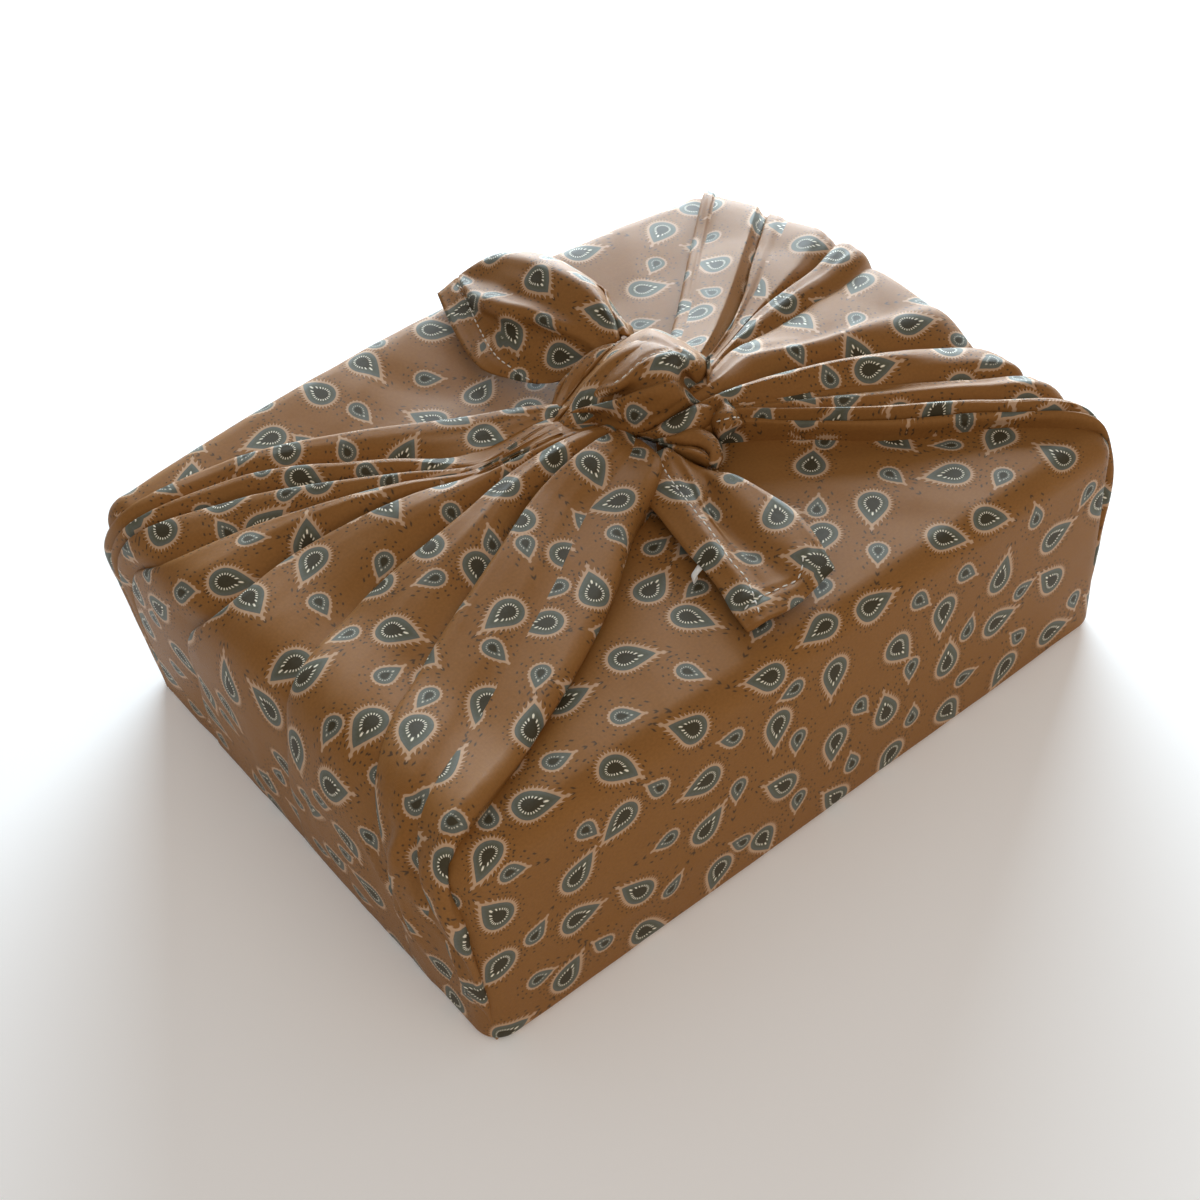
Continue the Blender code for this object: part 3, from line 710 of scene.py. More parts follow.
whole = (1,) * 8                # a fold that stands at its full height all the way
fans = {
    "stepsAlong": 13,
    "slopeSteps": 12,
    "backSteps": 8,
    "turnIn": 3.0,
    "edgeDip": 7.0,
    "thickness": 0.8,
    "hiddenCloth": 13.0,        # cloth folded away in each valley, for the print
    "rippleKnot": 1.3,
    "rippleWall": 0.35,
    "rippleFade": 0.22,         # share of the fold's length
    "rippleSize": (16, 3.2),    # millimetres across, waves along
    "rippleNarrow": 18,         # a narrower fold ripples less
    "bellyNarrow": 12,
    "unevenness": 0.3,
    "deck": 97.2,               # height of the panels that the last roll hangs down to
    "hang": 1.2,                # how far it hangs at the least
    "columns": ("name", "knot", "mid", "near", "far", "brow", "shoulder", "waist", "foot",
                "rise", "tuck", "belly", "round", "groove", "grown"),
    # height on the wall, how far inside its face, how far it leans up, its share of the swell
    "wall": {"brow": (94.2, 4.0, 60.0, 1, 1), "shoulder": (82.0, 0.0, 8.0, 0.4, 0.6),
             "waist": (46.0, 0.0, 0.0, 0, 0), "foot": (1.0, 2.6, -25.0, 0, 0)},
    "fade": (0.3, 0.7, 1.0, 1.15, 1.0, 0.85, 0.65, 0.4, 0.2),
    "sink": (0.0, 0.8, 2.2, 2.6, 1.7, 1.0, 0.7, 0.5, 0.2),
    "root": (16.0, 8.0, 104.0), # where all the folds come together inside the knot
    "rootSpread": (0.55, 2),    # how much of the folds' spread is left there, and how far apart
    # from the first crest to the rear edge: up, outward, down
    "rearEdge": ((0, 1, 1), (0, 1.08, 0.4), (0, 1, 0), (0.45, 0.75, 0), (0.88, 0.4, 0)),
    # from the last crest round its roll: outward, up, down, back
    "rollEdge": ((0, 1, 0, 0), (0.25, 0.97, 0, 0), (0.5, 0.84, 0, 0), (0.72, 0.62, 0, 0),
                 (0.88, 0.34, 0, 0), (0.97, 0.08, 0.1, 0), (1, 0, 0.28, 0),
                 (0.98, 0, 0.44, 0.2), (0.88, 0, 0.56, 0.9), (0.76, 0, 0.66, 2.2),
                 (0.7, 0, 0.74, 4), (0.66, 0, 0.8, 7)),
    "left": [
        ("rear", (0, 24, 108), (-31, 47, 105), (-60, 69.5, 101.8), (-103, 93, 98.5),
         99, 107, 113, 114, 3.0, .30, .6, .2, 1, (1, 1, 1, 1, .9, .8, 1, 1)),
        ("rear_mid", (-4, 19, 109.3), (-35, 22, 106.5), (-60, 45, 102.5), (-106, 81, 99),
         92, 101, 108, 110, 3.8, .20, .9, .15, 1, (0, 0, 1, 1, 1, .8, .5, .5)),
        ("narrow", (-5, 16, 109.5), (-38, 20, 107), (-62, 35.5, 103.5), (-110, 70, 99),
         86, 96, 104, 106, 3.6, .25, .9, .15, 1, (0, 0, 1, 1, 1, .8, .5, .5)),
        ("corner", (-6, 13, 109.5), (-41, 18.3, 107.2), (-65, 29, 104.5), (-112, 52, 99.5),
         63, 82, 99, 102, 4.0, .22, 1.3, .2, 1, (0, 0, 1, .9, .8, .7, .5, .5)),
        ("deep", (-6, 9, 109.5), (-43, 16, 107.5), (-66, 21, 105.5), (-108, 30, 100),
         28, 40, 55, 64, 3.8, .09, 1.8, .2, 2.4, (0, 0, .9, 1, 1, 1, .8, .4)),
        ("middle", (-6, 4, 109.5), (-34, 4, 107.7), (-60, -1, 106), (-108, -10, 100.5),
         -28, -32, -20, -10, 3.8, .16, 2.0, .25, 1.1, (1, 1, .9, .6, .8, 1.1, .9, .2)),
        ("near", (-2, -4, 109.5), (-34, -11, 107.3), (-60, -24, 105.5), (-106, -48, 100.5),
         -79, -85, -84, -80, 4.0, .16, 1.6, .15, 1.1, (1, 1, .8, .6, .8, 1.1, 1.2, .3)),
        ("front", (8, -22, 108), (-20, -38, 104.5), (-45, -56, 101.5), (-103, -88, 98),
         -106, -109, -114, -117, 3.2, .4, 1.4, .2, -.7, whole),
    ],
    # where the folds stand above the box's edge: middle, half width, up, out
    "leftSwell": (30.0, 85.0, 0.5, 0.0),
    "rightSwell": (30.0, 85.0, 9.0, 4.0),
    "leftRoll": 5.0,
    # start, end, half width, depth
    "leftCreases": [
        ((-151, -84, 92), (-151, -79, 56), 3, 2.4), ((-151, -80, 64), (-151, -81, 26), 3, 2.0),
        ((-151, -91, 96), (-151, -86, 64), 3.2, -3.2),
        ((-151, -87, 72), (-151, -88, 32), 3.4, -2.6),
        ((-151, -74, 84), (-151, -68, 60), 3, 1.5), ((-151, -66, 68), (-151, -74, 36), 3, -1.8),
        ((-150, -101, 94), (-147, -112, 64), 3.2, -2.8),
        ((-150, -96, 84), (-149, -106, 62), 3, 2.1),
        ((-151, -94, 70), (-147, -112, 60), 3, -2.2), ((-151, -98, 62), (-148, -110, 44), 3, 1.9),
        ((-149, -106, 46), (-147, -112, 22), 3.2, -2.3),
        ((-151, -60, 74), (-151, -58, 30), 5, 0.9), ((-151, -36, 84), (-151, -14, 30), 4, 0.8),
        ((-151, -41, 80), (-151, -22, 34), 3, -0.8), ((-151, 44, 72), (-151, 66, 26), 4, 0.9),
        ((-151, 6, 66), (-151, 20, 18), 6, -0.8),
        ((-110, -8, 101), (-146, -26, 96), 3, 1.2), ((-118, -46, 101), (-134, -60, 99), 5, -0.9),
        ((-84, -14, 104), (-104, -30, 101), 5, -0.8),
        ((-60, 56, 105), (-88, 62, 101), 4, 0.7), ((-92, 70, 100), (-128, 78, 98), 3, 0.8),
    ],
    "right": [
        ("rear", (43, 13, 108), (59, 27, 104.5), (76, 42, 101.5), (113, 77, 99),
         108, 112, 114, 115, 1.6, .5, 1.0, .3, 1, whole),
        ("rear_edge", (47, 5, 110), (64, 14, 106.5), (88, 31, 103.5), (123, 58, 103),
         80, 86, 92, 98, 3.6, .85, -1.2, .1, -.7, whole),
        ("rear_lip", (48, 2.6, 110.5), (65.5, 11, 107), (91, 26, 103.2), (124, 52, 103),
         71, 76, 83, 89, 2.0, .2, 1.2, .35, .5, (.2, .6, 1, 1, 1, 1, 1, 1)),
        ("high", (48.5, .8, 111), (66.2, 9.4, 107.5), (93, 21, 104), (126, 32, 104.5),
         46, 52, 58, 64, 2.8, .6, .5, .2, -1.2, (0, 0, .35, 1, 1, 1, 1, 1)),
        ("broad", (48.7, -1, 111.5), (67, 7.5, 108), (94, 17.5, 104.5), (126, 21, 105),
         26, 26, 30, 34, 3.2, .3, 2.0, .2, .8, (0, .3, .9, 1, 1, 1, 1, 1)),
        ("lit", (48.5, -7, 112), (69, 0, 109), (92, -7, 105.5), (125, -9, 103.5),
         -10, -9, -6, -4, 3.0, .6, 2.6, .45, .2, whole),
        ("undercut", (46.5, -17, 110.5), (64, -21, 108), (90, -28, 105), (125, -47, 101),
         -62, -58, -50, -46, 4.2, .25, 1.6, .12, 1, whole),
        ("fine", (47, -20, 108), (64, -27, 105.6), (90, -39, 102.6), (125, -65, 99.6),
         -76, -74, -68, -64, 3.4, .2, 2.2, .2, 1.4, (0, 0, -.1, .8, 1, 1, 1, 1)),
        ("roll", (46, -23, 107.5), (60, -34, 105.2), (84, -54, 103.2), (120, -78, 100),
         -101, -105, -110, -114, 3.2, .25, 2.0, .5, .9, whole),
        ("thin", (47, -26, 105), (61.5, -37.5, 102.4), (86, -59.5, 101), (122, -84.5, 98.8),
         -108.5, -112, -117, -120, 1.6, .35, 0, .2, .5, (.6, .8, 1, 1, 1, 1, 1, 1)),
    ],
    "rightRoll": 3.0,
    "rightCreases": [
        ((78, 4, 108), (104, -10, 105), 2.5, 0.8), ((82, -8, 108), (102, -20, 105), 2.5, -0.8),
        ((96, -34, 105), (118, -46, 103), 3, 0.7), ((112, 6, 104), (124, 20, 102), 3, -0.7),
        ((80, 36, 105), (104, 62, 102), 3.5, -0.7),
    ],
}


def wallPlace(along, inset, side):
    # a point on the end wall, or round its corner, and the way it faces
    far, wide = panels["length"] / 2, panels["width"] / 2
    past, way = abs(along) - (wide - edge), math.copysign(1.0, along)
    if past <= 0:
        place, facing = (far, along), (1.0, 0.0)
    elif past <= edge * math.pi / 2:
        facing = (math.cos(past / edge), way * math.sin(past / edge))
        place = (far - edge + edge * facing[0], way * (wide - edge) + edge * facing[1])
    else:
        facing = (0.0, way)
        place = (far - edge - (past - edge * math.pi / 2), way * wide)
    return (side * (place[0] - inset * facing[0]), place[1] - inset * facing[1],
            side * facing[0], facing[1])


def crestLine(row, side):
    # x, y, z, the way the cloth faces, y carried round the corner, fold height, valley depth
    spread, apart = fans["rootSpread"]
    root = np.add(fans["root"], (side * apart, spread * (row["knot"][1] - fans["root"][1]), 0))
    keys = [[*place, 0, 0, 1, place[1]]
            for place in (root, *(row[station] for station in ("knot", "mid", "near", "far")))]
    middle, reach, swellUp, swellOut = fans["rightSwell" if side > 0 else "leftSwell"]
    for station, (z, inset, lean, up, out) in fans["wall"].items():
        stands = math.cos(math.pi / 2 * min(1, abs(row[station] - middle) / reach)) ** 2
        x, y, outX, outY = wallPlace(row[station], inset - stands * swellOut * out, side)
        level, rising = math.cos(math.radians(lean)), math.sin(math.radians(lean))
        keys.append([x, y, z + stands * swellUp * up, outX * level, outY * level, rising,
                     row[station]])
    grown = np.array((row["grown"][0], *row["grown"]))
    keys = np.column_stack([np.array(keys, float), grown * fans["fade"],
                            row["groove"] * grown * fans["sink"]])
    return smoothCurve(keys, fans["stepsAlong"])


def bezier(a, b, c, d, count):
    t = np.linspace(0, 1, count + 1)[None, :-1, None]
    a, b, c, d = (np.asarray(p)[:, None] for p in (a, b, c, d))
    return (1 - t)**3 * a + 3 * (1 - t)**2 * t * b + 3 * (1 - t) * t * t * c + t**3 * d


def pair(first, second):
    return np.stack(np.broadcast_arrays(first, second), -1).astype(float)


def levelAway(line, other):
    # along the cloth, away from the other line
    away, facing = line[:, :3] - other[:, :3], line[:, 3:6]
    return unit(away - (away * facing).sum(1, keepdims=True) * facing)


def inward(line):
    # down into the box's top, or level into its end
    level = unit(line[:, :3] * (-1, -1, 0))
    return np.where(line[:, 5:6] > 0.9, -line[:, 3:6], level)


def foldProfile(row, after, line, nextLine):
    # crest, belly, valley, next crest: how far across, and how high above the crest lines
    rise, riseAfter = row["rise"] * line[:, 7], after["rise"] * nextLine[:, 7]
    tuck, sink = after["tuck"], -nextLine[:, 8]
    width = np.linalg.norm(nextLine[:, :3] - line[:, :3], axis=1)
    valley = pair((1 - tuck) * width, sink)
    swell = row["belly"] * np.minimum(nextLine[:, 7], np.minimum(1, width / fans["bellyNarrow"]))
    belly = pair(0.5 * (1 - tuck) * width, 0.5 * rise + swell)
    crest, nextCrest = pair(0 * width, rise), pair(width, riseAfter)
    slope = (valley - crest) * 0.2
    if after["groove"] < 0:            # no valley: the cloth only bends
        enter = pair(-0.3 * (1 - tuck) * width, 0)
        leave = arrive = (nextCrest - valley) * 0.3
    else:
        enter, arrive = pair(-0.10 * width, 0.22 * rise), pair(0.55 * tuck * width, 0)
        leave = pair(-0.015 * width, 0.45 * (riseAfter - sink))
    crown = pair(min(row["round"], 0.4 * (1 - tuck)) * width, 0)
    return width, np.concatenate([
        bezier(crest, crest + crown, belly - slope, belly, fans["slopeSteps"]),
        bezier(belly, belly + slope, valley + enter, valley, fans["slopeSteps"]),
        bezier(valley, valley + leave, nextCrest - arrive, nextCrest, fans["backSteps"]),
    ], axis=1)


def fanPiece(name, folds, side, rollWidth, creases, shift, seed):
    rows = [dict(zip(fans["columns"], fold)) for fold in folds]
    lines = [crestLine(row, side) for row in rows]
    flow = np.linspace(0, 1, len(lines[0]))
    spread = []                        # where each line lies on the flat cloth
    for line in lines:
        step, aside = np.diff(lengths(line[:, :3])), np.diff(line[:, 6])
        down = np.sqrt(np.maximum(step**2 - aside**2, 0))
        spread.append(np.column_stack([np.concatenate([[0], np.cumsum(down)]), line[:, 6]]))

    first = lines[0]
    rearward = levelAway(first, lines[1]) * fans["turnIn"]
    rise, dip = rows[0]["rise"] * first[:, 7:8] * first[:, 3:6], fans["edgeDip"] * inward(first)
    current = [first[:, :3] + up * rise + out * rearward + down * dip
               for up, out, down in fans["rearEdge"]]
    groups, bellies = [], []
    slopeCount, (wide, waves) = 2 * fans["slopeSteps"], fans["rippleSize"]
    for i, (line, after) in enumerate(zip(lines, lines[1:])):
        width, profile = foldProfile(rows[i], rows[i + 1], line, after)
        open_ = 1 - rows[i + 1]["tuck"]
        share = profile[..., 0] / width[:, None]
        window = np.sin(np.pi * np.clip(share / open_, 0, 1))
        gather = fans["rippleKnot"] * np.exp(-(flow / fans["rippleFade"]) ** 2)
        gather = (gather + fans["rippleWall"]) * np.minimum(1, width / fans["rippleNarrow"])
        ripples = np.stack([share * (2 + width.max() / wide), flow[:, None] * waves + 0 * share,
                            0 * share], -1)
        lift = window * gather[:, None] * roll(ripples, 1, seed + 3.7 * i) + profile[..., 1]
        share = share[..., None]
        facing = unit(line[:, None, 3:6] * (1 - share) + after[:, None, 3:6] * share)
        body = (line[:, None, :3] + share * (after[:, None, :3] - line[:, None, :3])
                + facing * lift[..., None])
        bellies.append((spread[i] * (1 - open_ / 2) + spread[i + 1] * (open_ / 2),
                        unit(spread[i + 1] - spread[i]), len(current) + fans["slopeSteps"]))
        current += [body[:, k] for k in range(slopeCount + 1)]
        groups.append(current)
        current = [body[:, k] for k in range(slopeCount, body.shape[1])]
    last = lines[-1]
    forward = levelAway(last, lines[-2]) * (rollWidth * last[:, 7:8])
    rise = rows[-1]["rise"] * last[:, 7:8] * last[:, 3:6]
    gap = np.clip(last[:, 2:3] - fans["deck"] - fans["hang"], 0, 20)
    hang = (fans["hang"] + np.clip(last[:, 5:6], 0, 1) * gap) * -last[:, 3:6]
    bellies.append((spread[-1], unit(spread[-1] - spread[-2]), len(current)))
    current += [last[:, :3] + out * forward + up * rise + down * hang + back * inward(last)
                for out, up, down, back in fans["rollEdge"]]
    groups.append(current)

    grid, uvLeft, uvRight = [], [], []
    for k, (group, (origin, way, index)) in enumerate(zip(groups, bellies)):
        block = np.stack(group, axis=1)
        run = lengths(block, 1)
        run -= run[:, index:index + 1]
        uv = layFlat(block, origin[:, None] + way[:, None] * run[..., None], flatRounds["fan"])
        uv = uv + shift + (2.0 * k, -fans["hiddenCloth"] * k)
        grid.append(block if k == 0 else block[:, 1:])
        uvLeft.append(uv[:, :-1])
        uvRight.append(uv[:, 1:])
    grid, uvLeft, uvRight = (np.concatenate(part, axis=1) for part in (grid, uvLeft, uvRight))
    grid = pressCreases(grid, gridFacings(grid) * -side, creases)
    grid = uneven(grid, gridFacings(grid) * -side, fans["unevenness"], seed + 60)
    return gridPiece(name, grid, uvLeft, uvRight, fans["thickness"], flip=side < 0)


leftFan = fanPiece("left_fan", fans["left"], -1, fans["leftRoll"], fans["leftCreases"],
                   (20.0, 210.0), 5.0)
rightFan = fanPiece("right_fan", fans["right"], 1, fans["rightRoll"], fans["rightCreases"],
                    (310.0, 40.0), 29.0)
print("fans made")


# The knot: its strands as folded bands of cloth, rows along each band, points across it

knot = {
    "steps": 5,
    "thickness": 0.7,
    "unevenness": 0.35,
    # rows and points across that each sewn line passes
    "seams": {
        "knot_over": [[(2.7, 3.3), (3.5, 3.2), (4.5, 3), (5.3, 3), (6.2, 2.6)]],
        "knot_pinch": [[(2, 0.8), (2.1, 1.6), (2.2, 2.4), (2.2, 2.9)]],
    },
    # for the round rolls of cloth behind and inside
    "columns": ("centre", "halfWidth", "halfHeight", "turn"),
    "sides": 44,
    "stepsAlong": 9,
    "wrinkle": 0.12,
    "wrinkles": (3, 26),        # waves round the roll, millimetres along it
    "girthShare": 0.69,         # of the mean girth, as the flat width
}
knot["sheets"] = {
    "knot_over": [
        ((-7, 22, 104), (-9, 19, 107), (-9, 18, 108), (-9, 17, 108), (-9, 18, 107.5),
         (-8, 18, 106.5), (-8, 18, 107), (-8, 18, 106), (-6, 20, 104), (-5, 21, 102)),
        ((9, 30, 106), (7, 24, 111), (5, 20, 112.5), (4, 19, 112.5), (3, 18, 112),
         (3, 18, 110), (1, 15, 111.5), (3, 16, 108.5), (5, 17, 105), (6, 18, 102)),
        ((21, 34, 108), (19, 27, 114), (15, 20, 116.5), (13, 15, 117), (11, 12, 116),
         (10, 12, 112.5), (7, 8, 115), (8, 8, 111), (8, 7, 106), (9, 7, 102)),
        ((31, 35, 111), (27, 27, 118), (22, 17, 121), (18, 8, 122), (16, 5, 121),
         (16, 7, 115), (13, 2, 118), (12, 0, 113.5), (12, -2, 106.5), (13, 0, 102)),
        ((44, 34, 114), (37, 22, 122), (30, 13, 125), (27, 6, 126.5), (23, 2, 125.5),
         (20, 0, 121), (18, -3, 121), (17, -5, 115), (16, -6, 107), (17, -4, 102)),
        ((51, 29, 116), (42, 16, 125), (37, 9, 127.5), (33, 2, 129), (29, -3, 128.5),
         (26, -7, 125.5), (23, -9, 123.5), (22, -10, 116.5), (22, -10, 110), (24, -8, 104)),
        ((55, 21, 114), (45, 8, 124), (41, 2, 126.5), (39, -1, 127.5), (35, -5, 127),
         (32, -8, 124), (29, -11, 122.5), (28, -13, 118), (29, -12, 112), (32, -9, 105)),
        ((58, 15, 111), (48, 1, 121), (45, -3, 122.5), (43, -5, 122), (40, -5, 120),
         (42, -1, 112), (35, -10, 116), (33, -13, 116), (35, -12, 111.5), (38, -9, 105)),
        ((61, 12, 107), (52, 0, 116), (48, -5, 117), (45, -6, 116), (44, -5, 112),
         (44, -3, 107), (39, -10, 111), (38, -12, 112), (40, -12, 109), (42, -9, 104)),
        ((63, 12, 103), (58, 5, 108), (55, 2, 107), (52, -1, 106), (49, -3, 105),
         (47, -4, 104), (43, -10, 107), (43, -12, 107.5), (44, -10, 105), (46, -9, 102)),
    ],
    "knot_flap": [
        ((52, 0, 117), (52, -2, 119), (54, 0, 115)),
        ((50, -2, 113), (48, -6, 117), (53, -3, 112)),
        ((48, -3, 109), (45, -9, 114.5), (51, -6, 109)),
        ((46, -3, 106), (43, -10, 111), (49, -8, 106)),
        ((46, -5, 104), (44, -10, 106.5), (50, -8, 103)),
    ],
    "knot_under": [
        ((16, -1, 103), (14, -4, 105), (15, -5, 104), (17, -4, 101)),
        ((19, -5, 105), (17, -10, 108), (17, -11, 105.5), (19, -9, 101)),
        ((27, -6, 107), (22, -14, 111), (22, -16, 107), (25, -14, 101)),
        ((33, -8, 108), (29, -16, 113), (28, -19, 108), (32, -16, 101)),
        ((40, -9, 108), (34, -17, 113.5), (35, -20, 108.5), (38, -18, 101)),
        ((43, -12, 107), (40, -18, 111), (41, -19, 107), (44, -16, 101)),
        ((45, -13, 105), (43, -16, 107), (44, -17, 105), (45, -15, 102)),
    ],
    "knot_pinch": [
        ((45, -10, 104), (46, -12, 109), (47, -14, 111), (51, -12, 107)),
        ((41, -14, 104), (42, -18, 110), (44, -20, 112), (49, -18, 107)),
        ((38, -16, 103), (37, -24, 110), (40, -27, 112), (47, -25, 107)),
        ((37, -20, 102), (36, -27, 107.5), (40, -29, 109.5), (47, -27, 105)),
        ((37, -23, 101), (37, -27, 103), (42, -27, 104), (47, -25, 102)),
    ],
    "knot_loop": [
        ((18, -9, 103), (17, -12, 105), (18, -13, 104), (19, -12, 102)),
        ((26, -13, 104), (22, -19, 108), (22, -20, 106), (23, -19, 102)),
        ((34, -15, 104), (28, -23, 109), (26, -26, 107), (27, -24, 102.5)),
        ((36, -21, 103), (30, -29, 108), (27, -30, 107), (27, -27, 103)),
        ((35, -27, 102), (29, -33, 106.5), (26, -33, 106.5), (27, -29, 103)),
        ((31, -32, 101), (27, -36, 104.5), (24, -35, 104.5), (25, -32, 102)),
        ((27, -35, 100), (25, -36, 102), (25, -35, 102), (25, -33, 100.5)),
    ],
    "knot_lip": [
        ((18, -12, 104), (17, -15, 105.5), (18, -15, 104), (19, -14, 102)),
        ((22, -20, 105), (19, -24, 107), (19, -24, 104.5), (20, -23, 101)),
        ((26, -26, 105), (22, -30, 107), (22, -30, 103.5), (23, -28, 100)),
        ((27, -29, 104), (24, -33, 105.5), (23, -32, 103), (24, -30, 100)),
        ((26, -33, 103), (24, -35, 103.5), (24, -33, 101.5), (24, -32, 100)),
    ],
    "knot_twist": [
        ((-7, 23, 103), (-8, 21, 105), (-7, 22, 104.5), (-8, 20, 105.5), (-7, 21, 104)),
        ((2, 31, 104), (1, 27, 108), (2, 27, 106.5), (0, 23, 109), (4, 25, 106)),
        ((11, 38, 105), (9, 32, 110.5), (10, 30, 108), (7, 24, 112), (12, 27, 108)),
        ((21, 41, 106), (18, 33, 112.5), (18, 31, 110), (17, 27, 114), (21, 31, 109)),
        ((29, 41, 108), (26, 34, 114.5), (27, 32, 112.5), (25, 28, 117), (30, 32, 111)),
        ((35, 41, 110), (32, 33, 116), (32, 32, 115), (32, 29, 118), (37, 32, 112)),
    ],
    "knot_corner": [
        ((14, -3, 103), (13, -6, 104.5), (14, -8, 104)),
        ((10, -9, 102.5), (12, -10, 104), (13, -13, 102.5)),
        ((3, -19, 101.5), (5, -17, 102), (9, -14, 101)),
    ],
}
knot["rolls"] = {
    "knot_heart": [
        ((-8, 15, 105), 2.5, 3.0, 10), ((2, 16, 107), 4.5, 4.5, 10),
        ((13, 17, 110), 8.0, 7.0, 8), ((26, 15, 112.5), 11.0, 10.5, 5),
        ((37, 11, 113), 13.0, 11.5, 0), ((45, 4, 110), 10.0, 8.5, -5),
        ((51, 0, 105), 5.5, 5.0, -10),
    ],
    "knot_rising": [
        ((-9, 13, 103.5), 3.0, 3.0, 0), ((-3, 20, 105), 3.6, 3.6, 0),
        ((8, 27, 107.5), 4.2, 4.0, 0), ((20, 31, 111), 5.0, 4.5, 0),
        ((32, 30, 112.5), 5.0, 4.5, 0), ((40, 24, 110), 4.0, 4.0, 0),
    ],
}
# rows and points across that each line passes, half width, depth
knot["creases"] = {
    "knot_over": [
        ([(1, 5.2), (2, 5), (3, 5), (4, 5), (5, 5), (6, 5.2)], 1.3, -1.5),
        ([(1, 6.4), (2, 6.3), (3, 6.2), (4, 6.2), (5, 6.3)], 1.6, 0.9),
        ([(2, 3.7), (3, 3.7), (4, 3.6), (5, 3.5), (6, 3.4)], 1.8, 0.9),
        ([(1.5, 7.5), (3, 7.6), (5, 7.6), (6.5, 7.2)], 1.3, -1.1),
        ([(3.6, 1), (4.6, 1.6), (5.6, 2.2), (6.8, 3)], 1.6, -0.9),
    ],
}


def rollPiece(name, sections, seed):
    rows = [dict(zip(knot["columns"], section)) for section in sections]
    keys = [[*row["centre"], row["halfWidth"], row["halfHeight"], row["turn"]] for row in rows]
    curve = smoothCurve(keys, knot["stepsAlong"])
    centres, run = curve[:, :3], lengths(curve[:, :3])[:, None]
    heading = unit(np.gradient(centres, axis=0))
    across = unit(np.cross(heading, (0, 0, 1)))
    above = np.cross(across, heading)
    angles, turn = np.linspace(0, 2 * np.pi, knot["sides"] + 1), np.radians(curve[:, 5:])
    ring = (np.cos(angles), np.sin(angles))
    waves, long = knot["wrinkles"]
    places = np.stack(np.broadcast_arrays(waves * ring[0], waves * ring[1], run / long), -1)
    crumple = 1 + knot["wrinkle"] * roll(places, 1, seed)
    a, b = curve[:, 3:4] * ring[0] * crumple, curve[:, 4:5] * ring[1] * crumple
    grid = (centres[:, None] + across[:, None] * (a * np.cos(turn) - b * np.sin(turn))[..., None]
            + above[:, None] * (a * np.sin(turn) + b * np.cos(turn))[..., None])
    around = lengths(grid, 1)
    uv = pair(around - 0.5 * around[:, -1:], run) + seed * 17.0
    piece = gridPiece(name, grid, uv[:, :-1], uv[:, 1:], 0.0, flip=True)
    girth, reach = round(knot["girthShare"] * around[:, -1].mean()), round(run[-1, 0])
    print(name, "cut from", girth, "x", reach, "mm")


for number, name in enumerate(knot["sheets"]):
    drapedPiece(name, knot, 2.0 + number)
for number, (name, sections) in enumerate(knot["rolls"].items()):
    rollPiece(name, sections, 21.0 + number)
print("knot made")


# The hemmed tails, rows from the knot to the tip

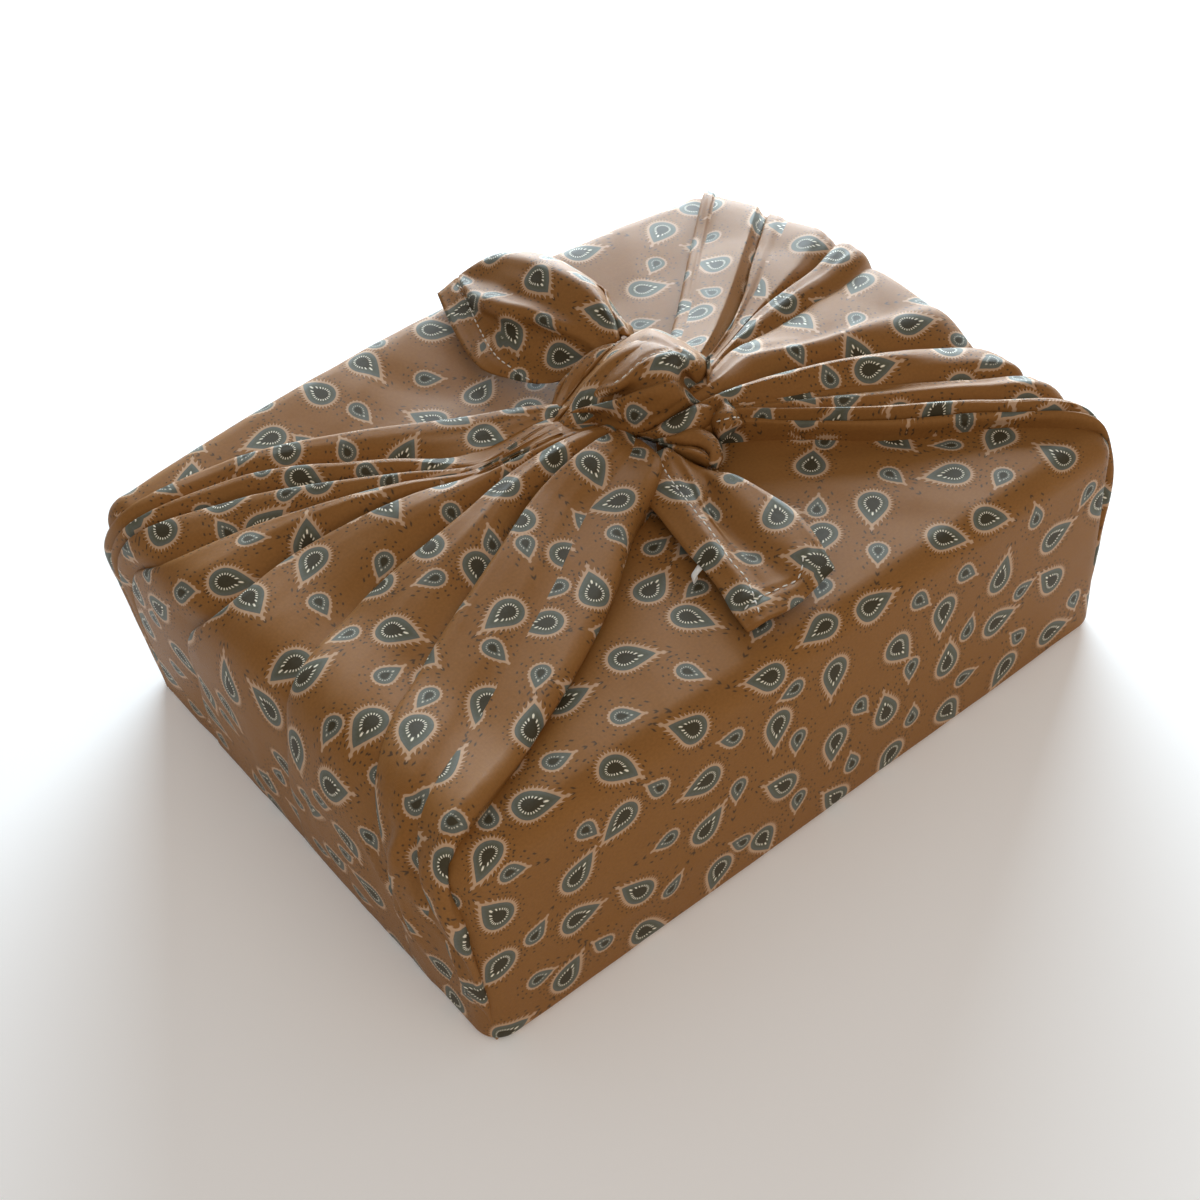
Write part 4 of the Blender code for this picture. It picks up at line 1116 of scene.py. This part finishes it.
tails = {
    "steps": 6,
    "thickness": 0.9,
    "unevenness": 0.4,
    # rows and points across, as in the knot
    "seams": {
        "front_tail": [[(0.2, 0.9), (1, 1), (3, 1), (5, 1), (6, 1), (6.6, 1.1)],
                       [(6.2, 0.4), (6, 1), (5.8, 2), (5.6, 3.4), (5.4, 4.2), (4.6, 5.2)]],
        "back_tail": [[(2.4, 0.8), (3, 1), (4, 1), (5, 1), (6, 1), (6.8, 1.1)]],
    },
}
tails["sheets"] = {
    "front_tail": [
        ((10, -18, 106), (13, -19, 107), (16, -20, 107.5), (17, -25, 107), (19, -30, 105),
         (21, -35, 104), (22, -40, 105)),
        ((-2, -23, 104), (7, -32, 107), (11, -35, 105.5), (13, -38, 106), (16, -42, 103),
         (18, -46, 106), (24, -47, 107)),
        ((-7, -44, 103), (3, -49, 106), (5, -51, 104.5), (7, -51, 105), (9, -52, 101.5),
         (16, -59, 106), (26, -62, 107)),
        ((-11, -64, 102), (0, -64, 105), (2, -65, 103), (3, -69, 102.5), (7, -70, 101),
         (15, -73, 105), (27, -76, 106)),
        ((-12, -74, 101), (-4, -78, 104), (-2, -79, 102), (2, -82, 102), (6, -84, 101),
         (14, -85, 104.5), (24, -90, 104.5)),
        ((-14, -83, 100.5), (-5, -86, 103), (-4, -88, 101.5), (0, -90, 101.5), (6, -94, 101),
         (15, -94, 103.5), (22, -97, 102.5)),
        ((-17, -92, 100), (-9, -95, 102), (-6, -96, 101.2), (-1, -98, 101.2), (6, -99, 101),
         (12, -101, 101.5), (21, -101, 101)),
        ((-19, -102, 99.5), (-14, -103, 100), (-11, -103, 100), (-4, -104, 100), (3, -104, 99.8),
         (10, -103, 99.8), (19, -101, 100)),
    ],
    "back_tail": [
        ((28, 41, 106), (29, 39, 108), (30, 38, 109), (30, 34, 112), (32, 34, 113),
         (34, 33, 115), (36, 32, 116), (41, 36, 112)),
        ((18, 41, 103.5), (19, 41, 105), (24, 45, 106), (28, 41, 115), (32, 43, 116),
         (36, 43, 119), (39, 41, 121), (43, 41, 116)),
        ((9, 46, 103), (10, 45, 104), (20, 53, 105), (23, 54, 117), (27, 56, 118),
         (36, 55, 123), (43, 57, 125), (51, 59, 118)),
        ((2, 57, 103), (5, 58, 105.5), (15, 61, 107), (19, 66, 117), (24, 69, 119),
         (34, 72, 123), (43, 75, 125), (53, 79, 117)),
        ((-2, 70, 103), (5, 70, 106), (13, 71, 108), (15, 77, 116), (21, 81, 117.5),
         (31, 89, 120), (42, 95, 121), (53, 99, 114)),
        ((1, 87, 103.5), (11, 90, 106.5), (14, 86, 109), (16, 91, 114), (22, 96, 115),
         (30, 105, 116), (37, 111, 116), (48, 115, 110)),
        ((7, 106, 105), (17, 106, 108), (18, 105, 109), (19, 106, 111), (23, 111, 111),
         (26, 114, 111.5), (29, 117, 112), (39, 121, 107)),
        ((12, 119, 106), (20, 119, 108), (22, 119, 108.5), (23, 119, 108.5), (24, 120, 108.5),
         (25, 120, 108.5), (26, 121, 108), (31, 122, 105)),
    ],
    "back_layer": [
        ((48, 66, 119), (49, 62, 120), (51, 58, 119), (55, 62, 113)),
        ((50, 66, 113), (52, 63, 112), (48, 54, 119), (53, 57, 112)),
        ((44, 54, 113), (47, 53, 113), (45, 47, 118), (51, 47, 110)),
        ((41, 44, 113), (42, 42, 115), (44, 40, 117), (52, 43, 108)),
        ((39, 36, 113), (40, 36, 114), (42, 33, 115), (49, 39, 107)),
    ],
}
# the same, then half width, depth
tails["creases"] = {
    "back_tail": [
        ([(5.5, 5.4), (4.7, 5.6), (3.1, 5.6), (1, 5.5)], 4, 1.8),
        ([(5.9, 4.6), (3.3, 4.4), (1.9, 4.4)], 4, -2.2),
        ([(6.4, 1.6), (4.4, 3.5), (2.2, 3.8), (0.4, 4.4)], 4, 2.2),
        ([(4.8, 2.2), (2.8, 2.7), (1, 2.7)], 4, -2.4),
        ([(3.8, 2.1), (3.2, 2.4), (2.6, 2.5)], 4, -1.8),
    ],
}


for number, name in enumerate(tails["sheets"]):
    drapedPiece(name, tails, 41.0 + number, held="draped")
print("tails made")


# The blank end of tape that sticks out of the front tail's hem

tape = {
    "steps": 6,
    "thickness": 0.25,
    "unevenness": 0.05,
    "seams": {},
    "creases": {},
    "sheets": {"hem_tape": [
        ((-9.4, -67.9, 101.2), (-10.4, -69.5, 101.4), (-11.3, -71.1, 101.2)),
        ((-11.2, -68.3, 101.0), (-12.2, -69.9, 101.2), (-13.1, -71.4, 100.9)),
        ((-13.5, -69.0, 100.4), (-14.5, -70.5, 100.6), (-15.4, -72.1, 100.3)),
        ((-15.2, -69.6, 99.8), (-16.1, -71.2, 99.9), (-16.9, -72.8, 99.7)),
        ((-15.6, -69.9, 99.4), (-16.4, -71.4, 99.5), (-17.2, -73.0, 99.3)),
        ((-15.0, -69.6, 99.0), (-15.9, -71.2, 99.1), (-16.6, -72.8, 98.9)),
        ((-12.6, -69.0, 99.6), (-13.6, -70.5, 99.7), (-14.5, -72.1, 99.5)),
    ]},
}
drapedPiece("hem_tape", tape, 61.0, held="folded", finish=tapeWhite,
            node="hem_label", slot="label_tape")
print("label made")
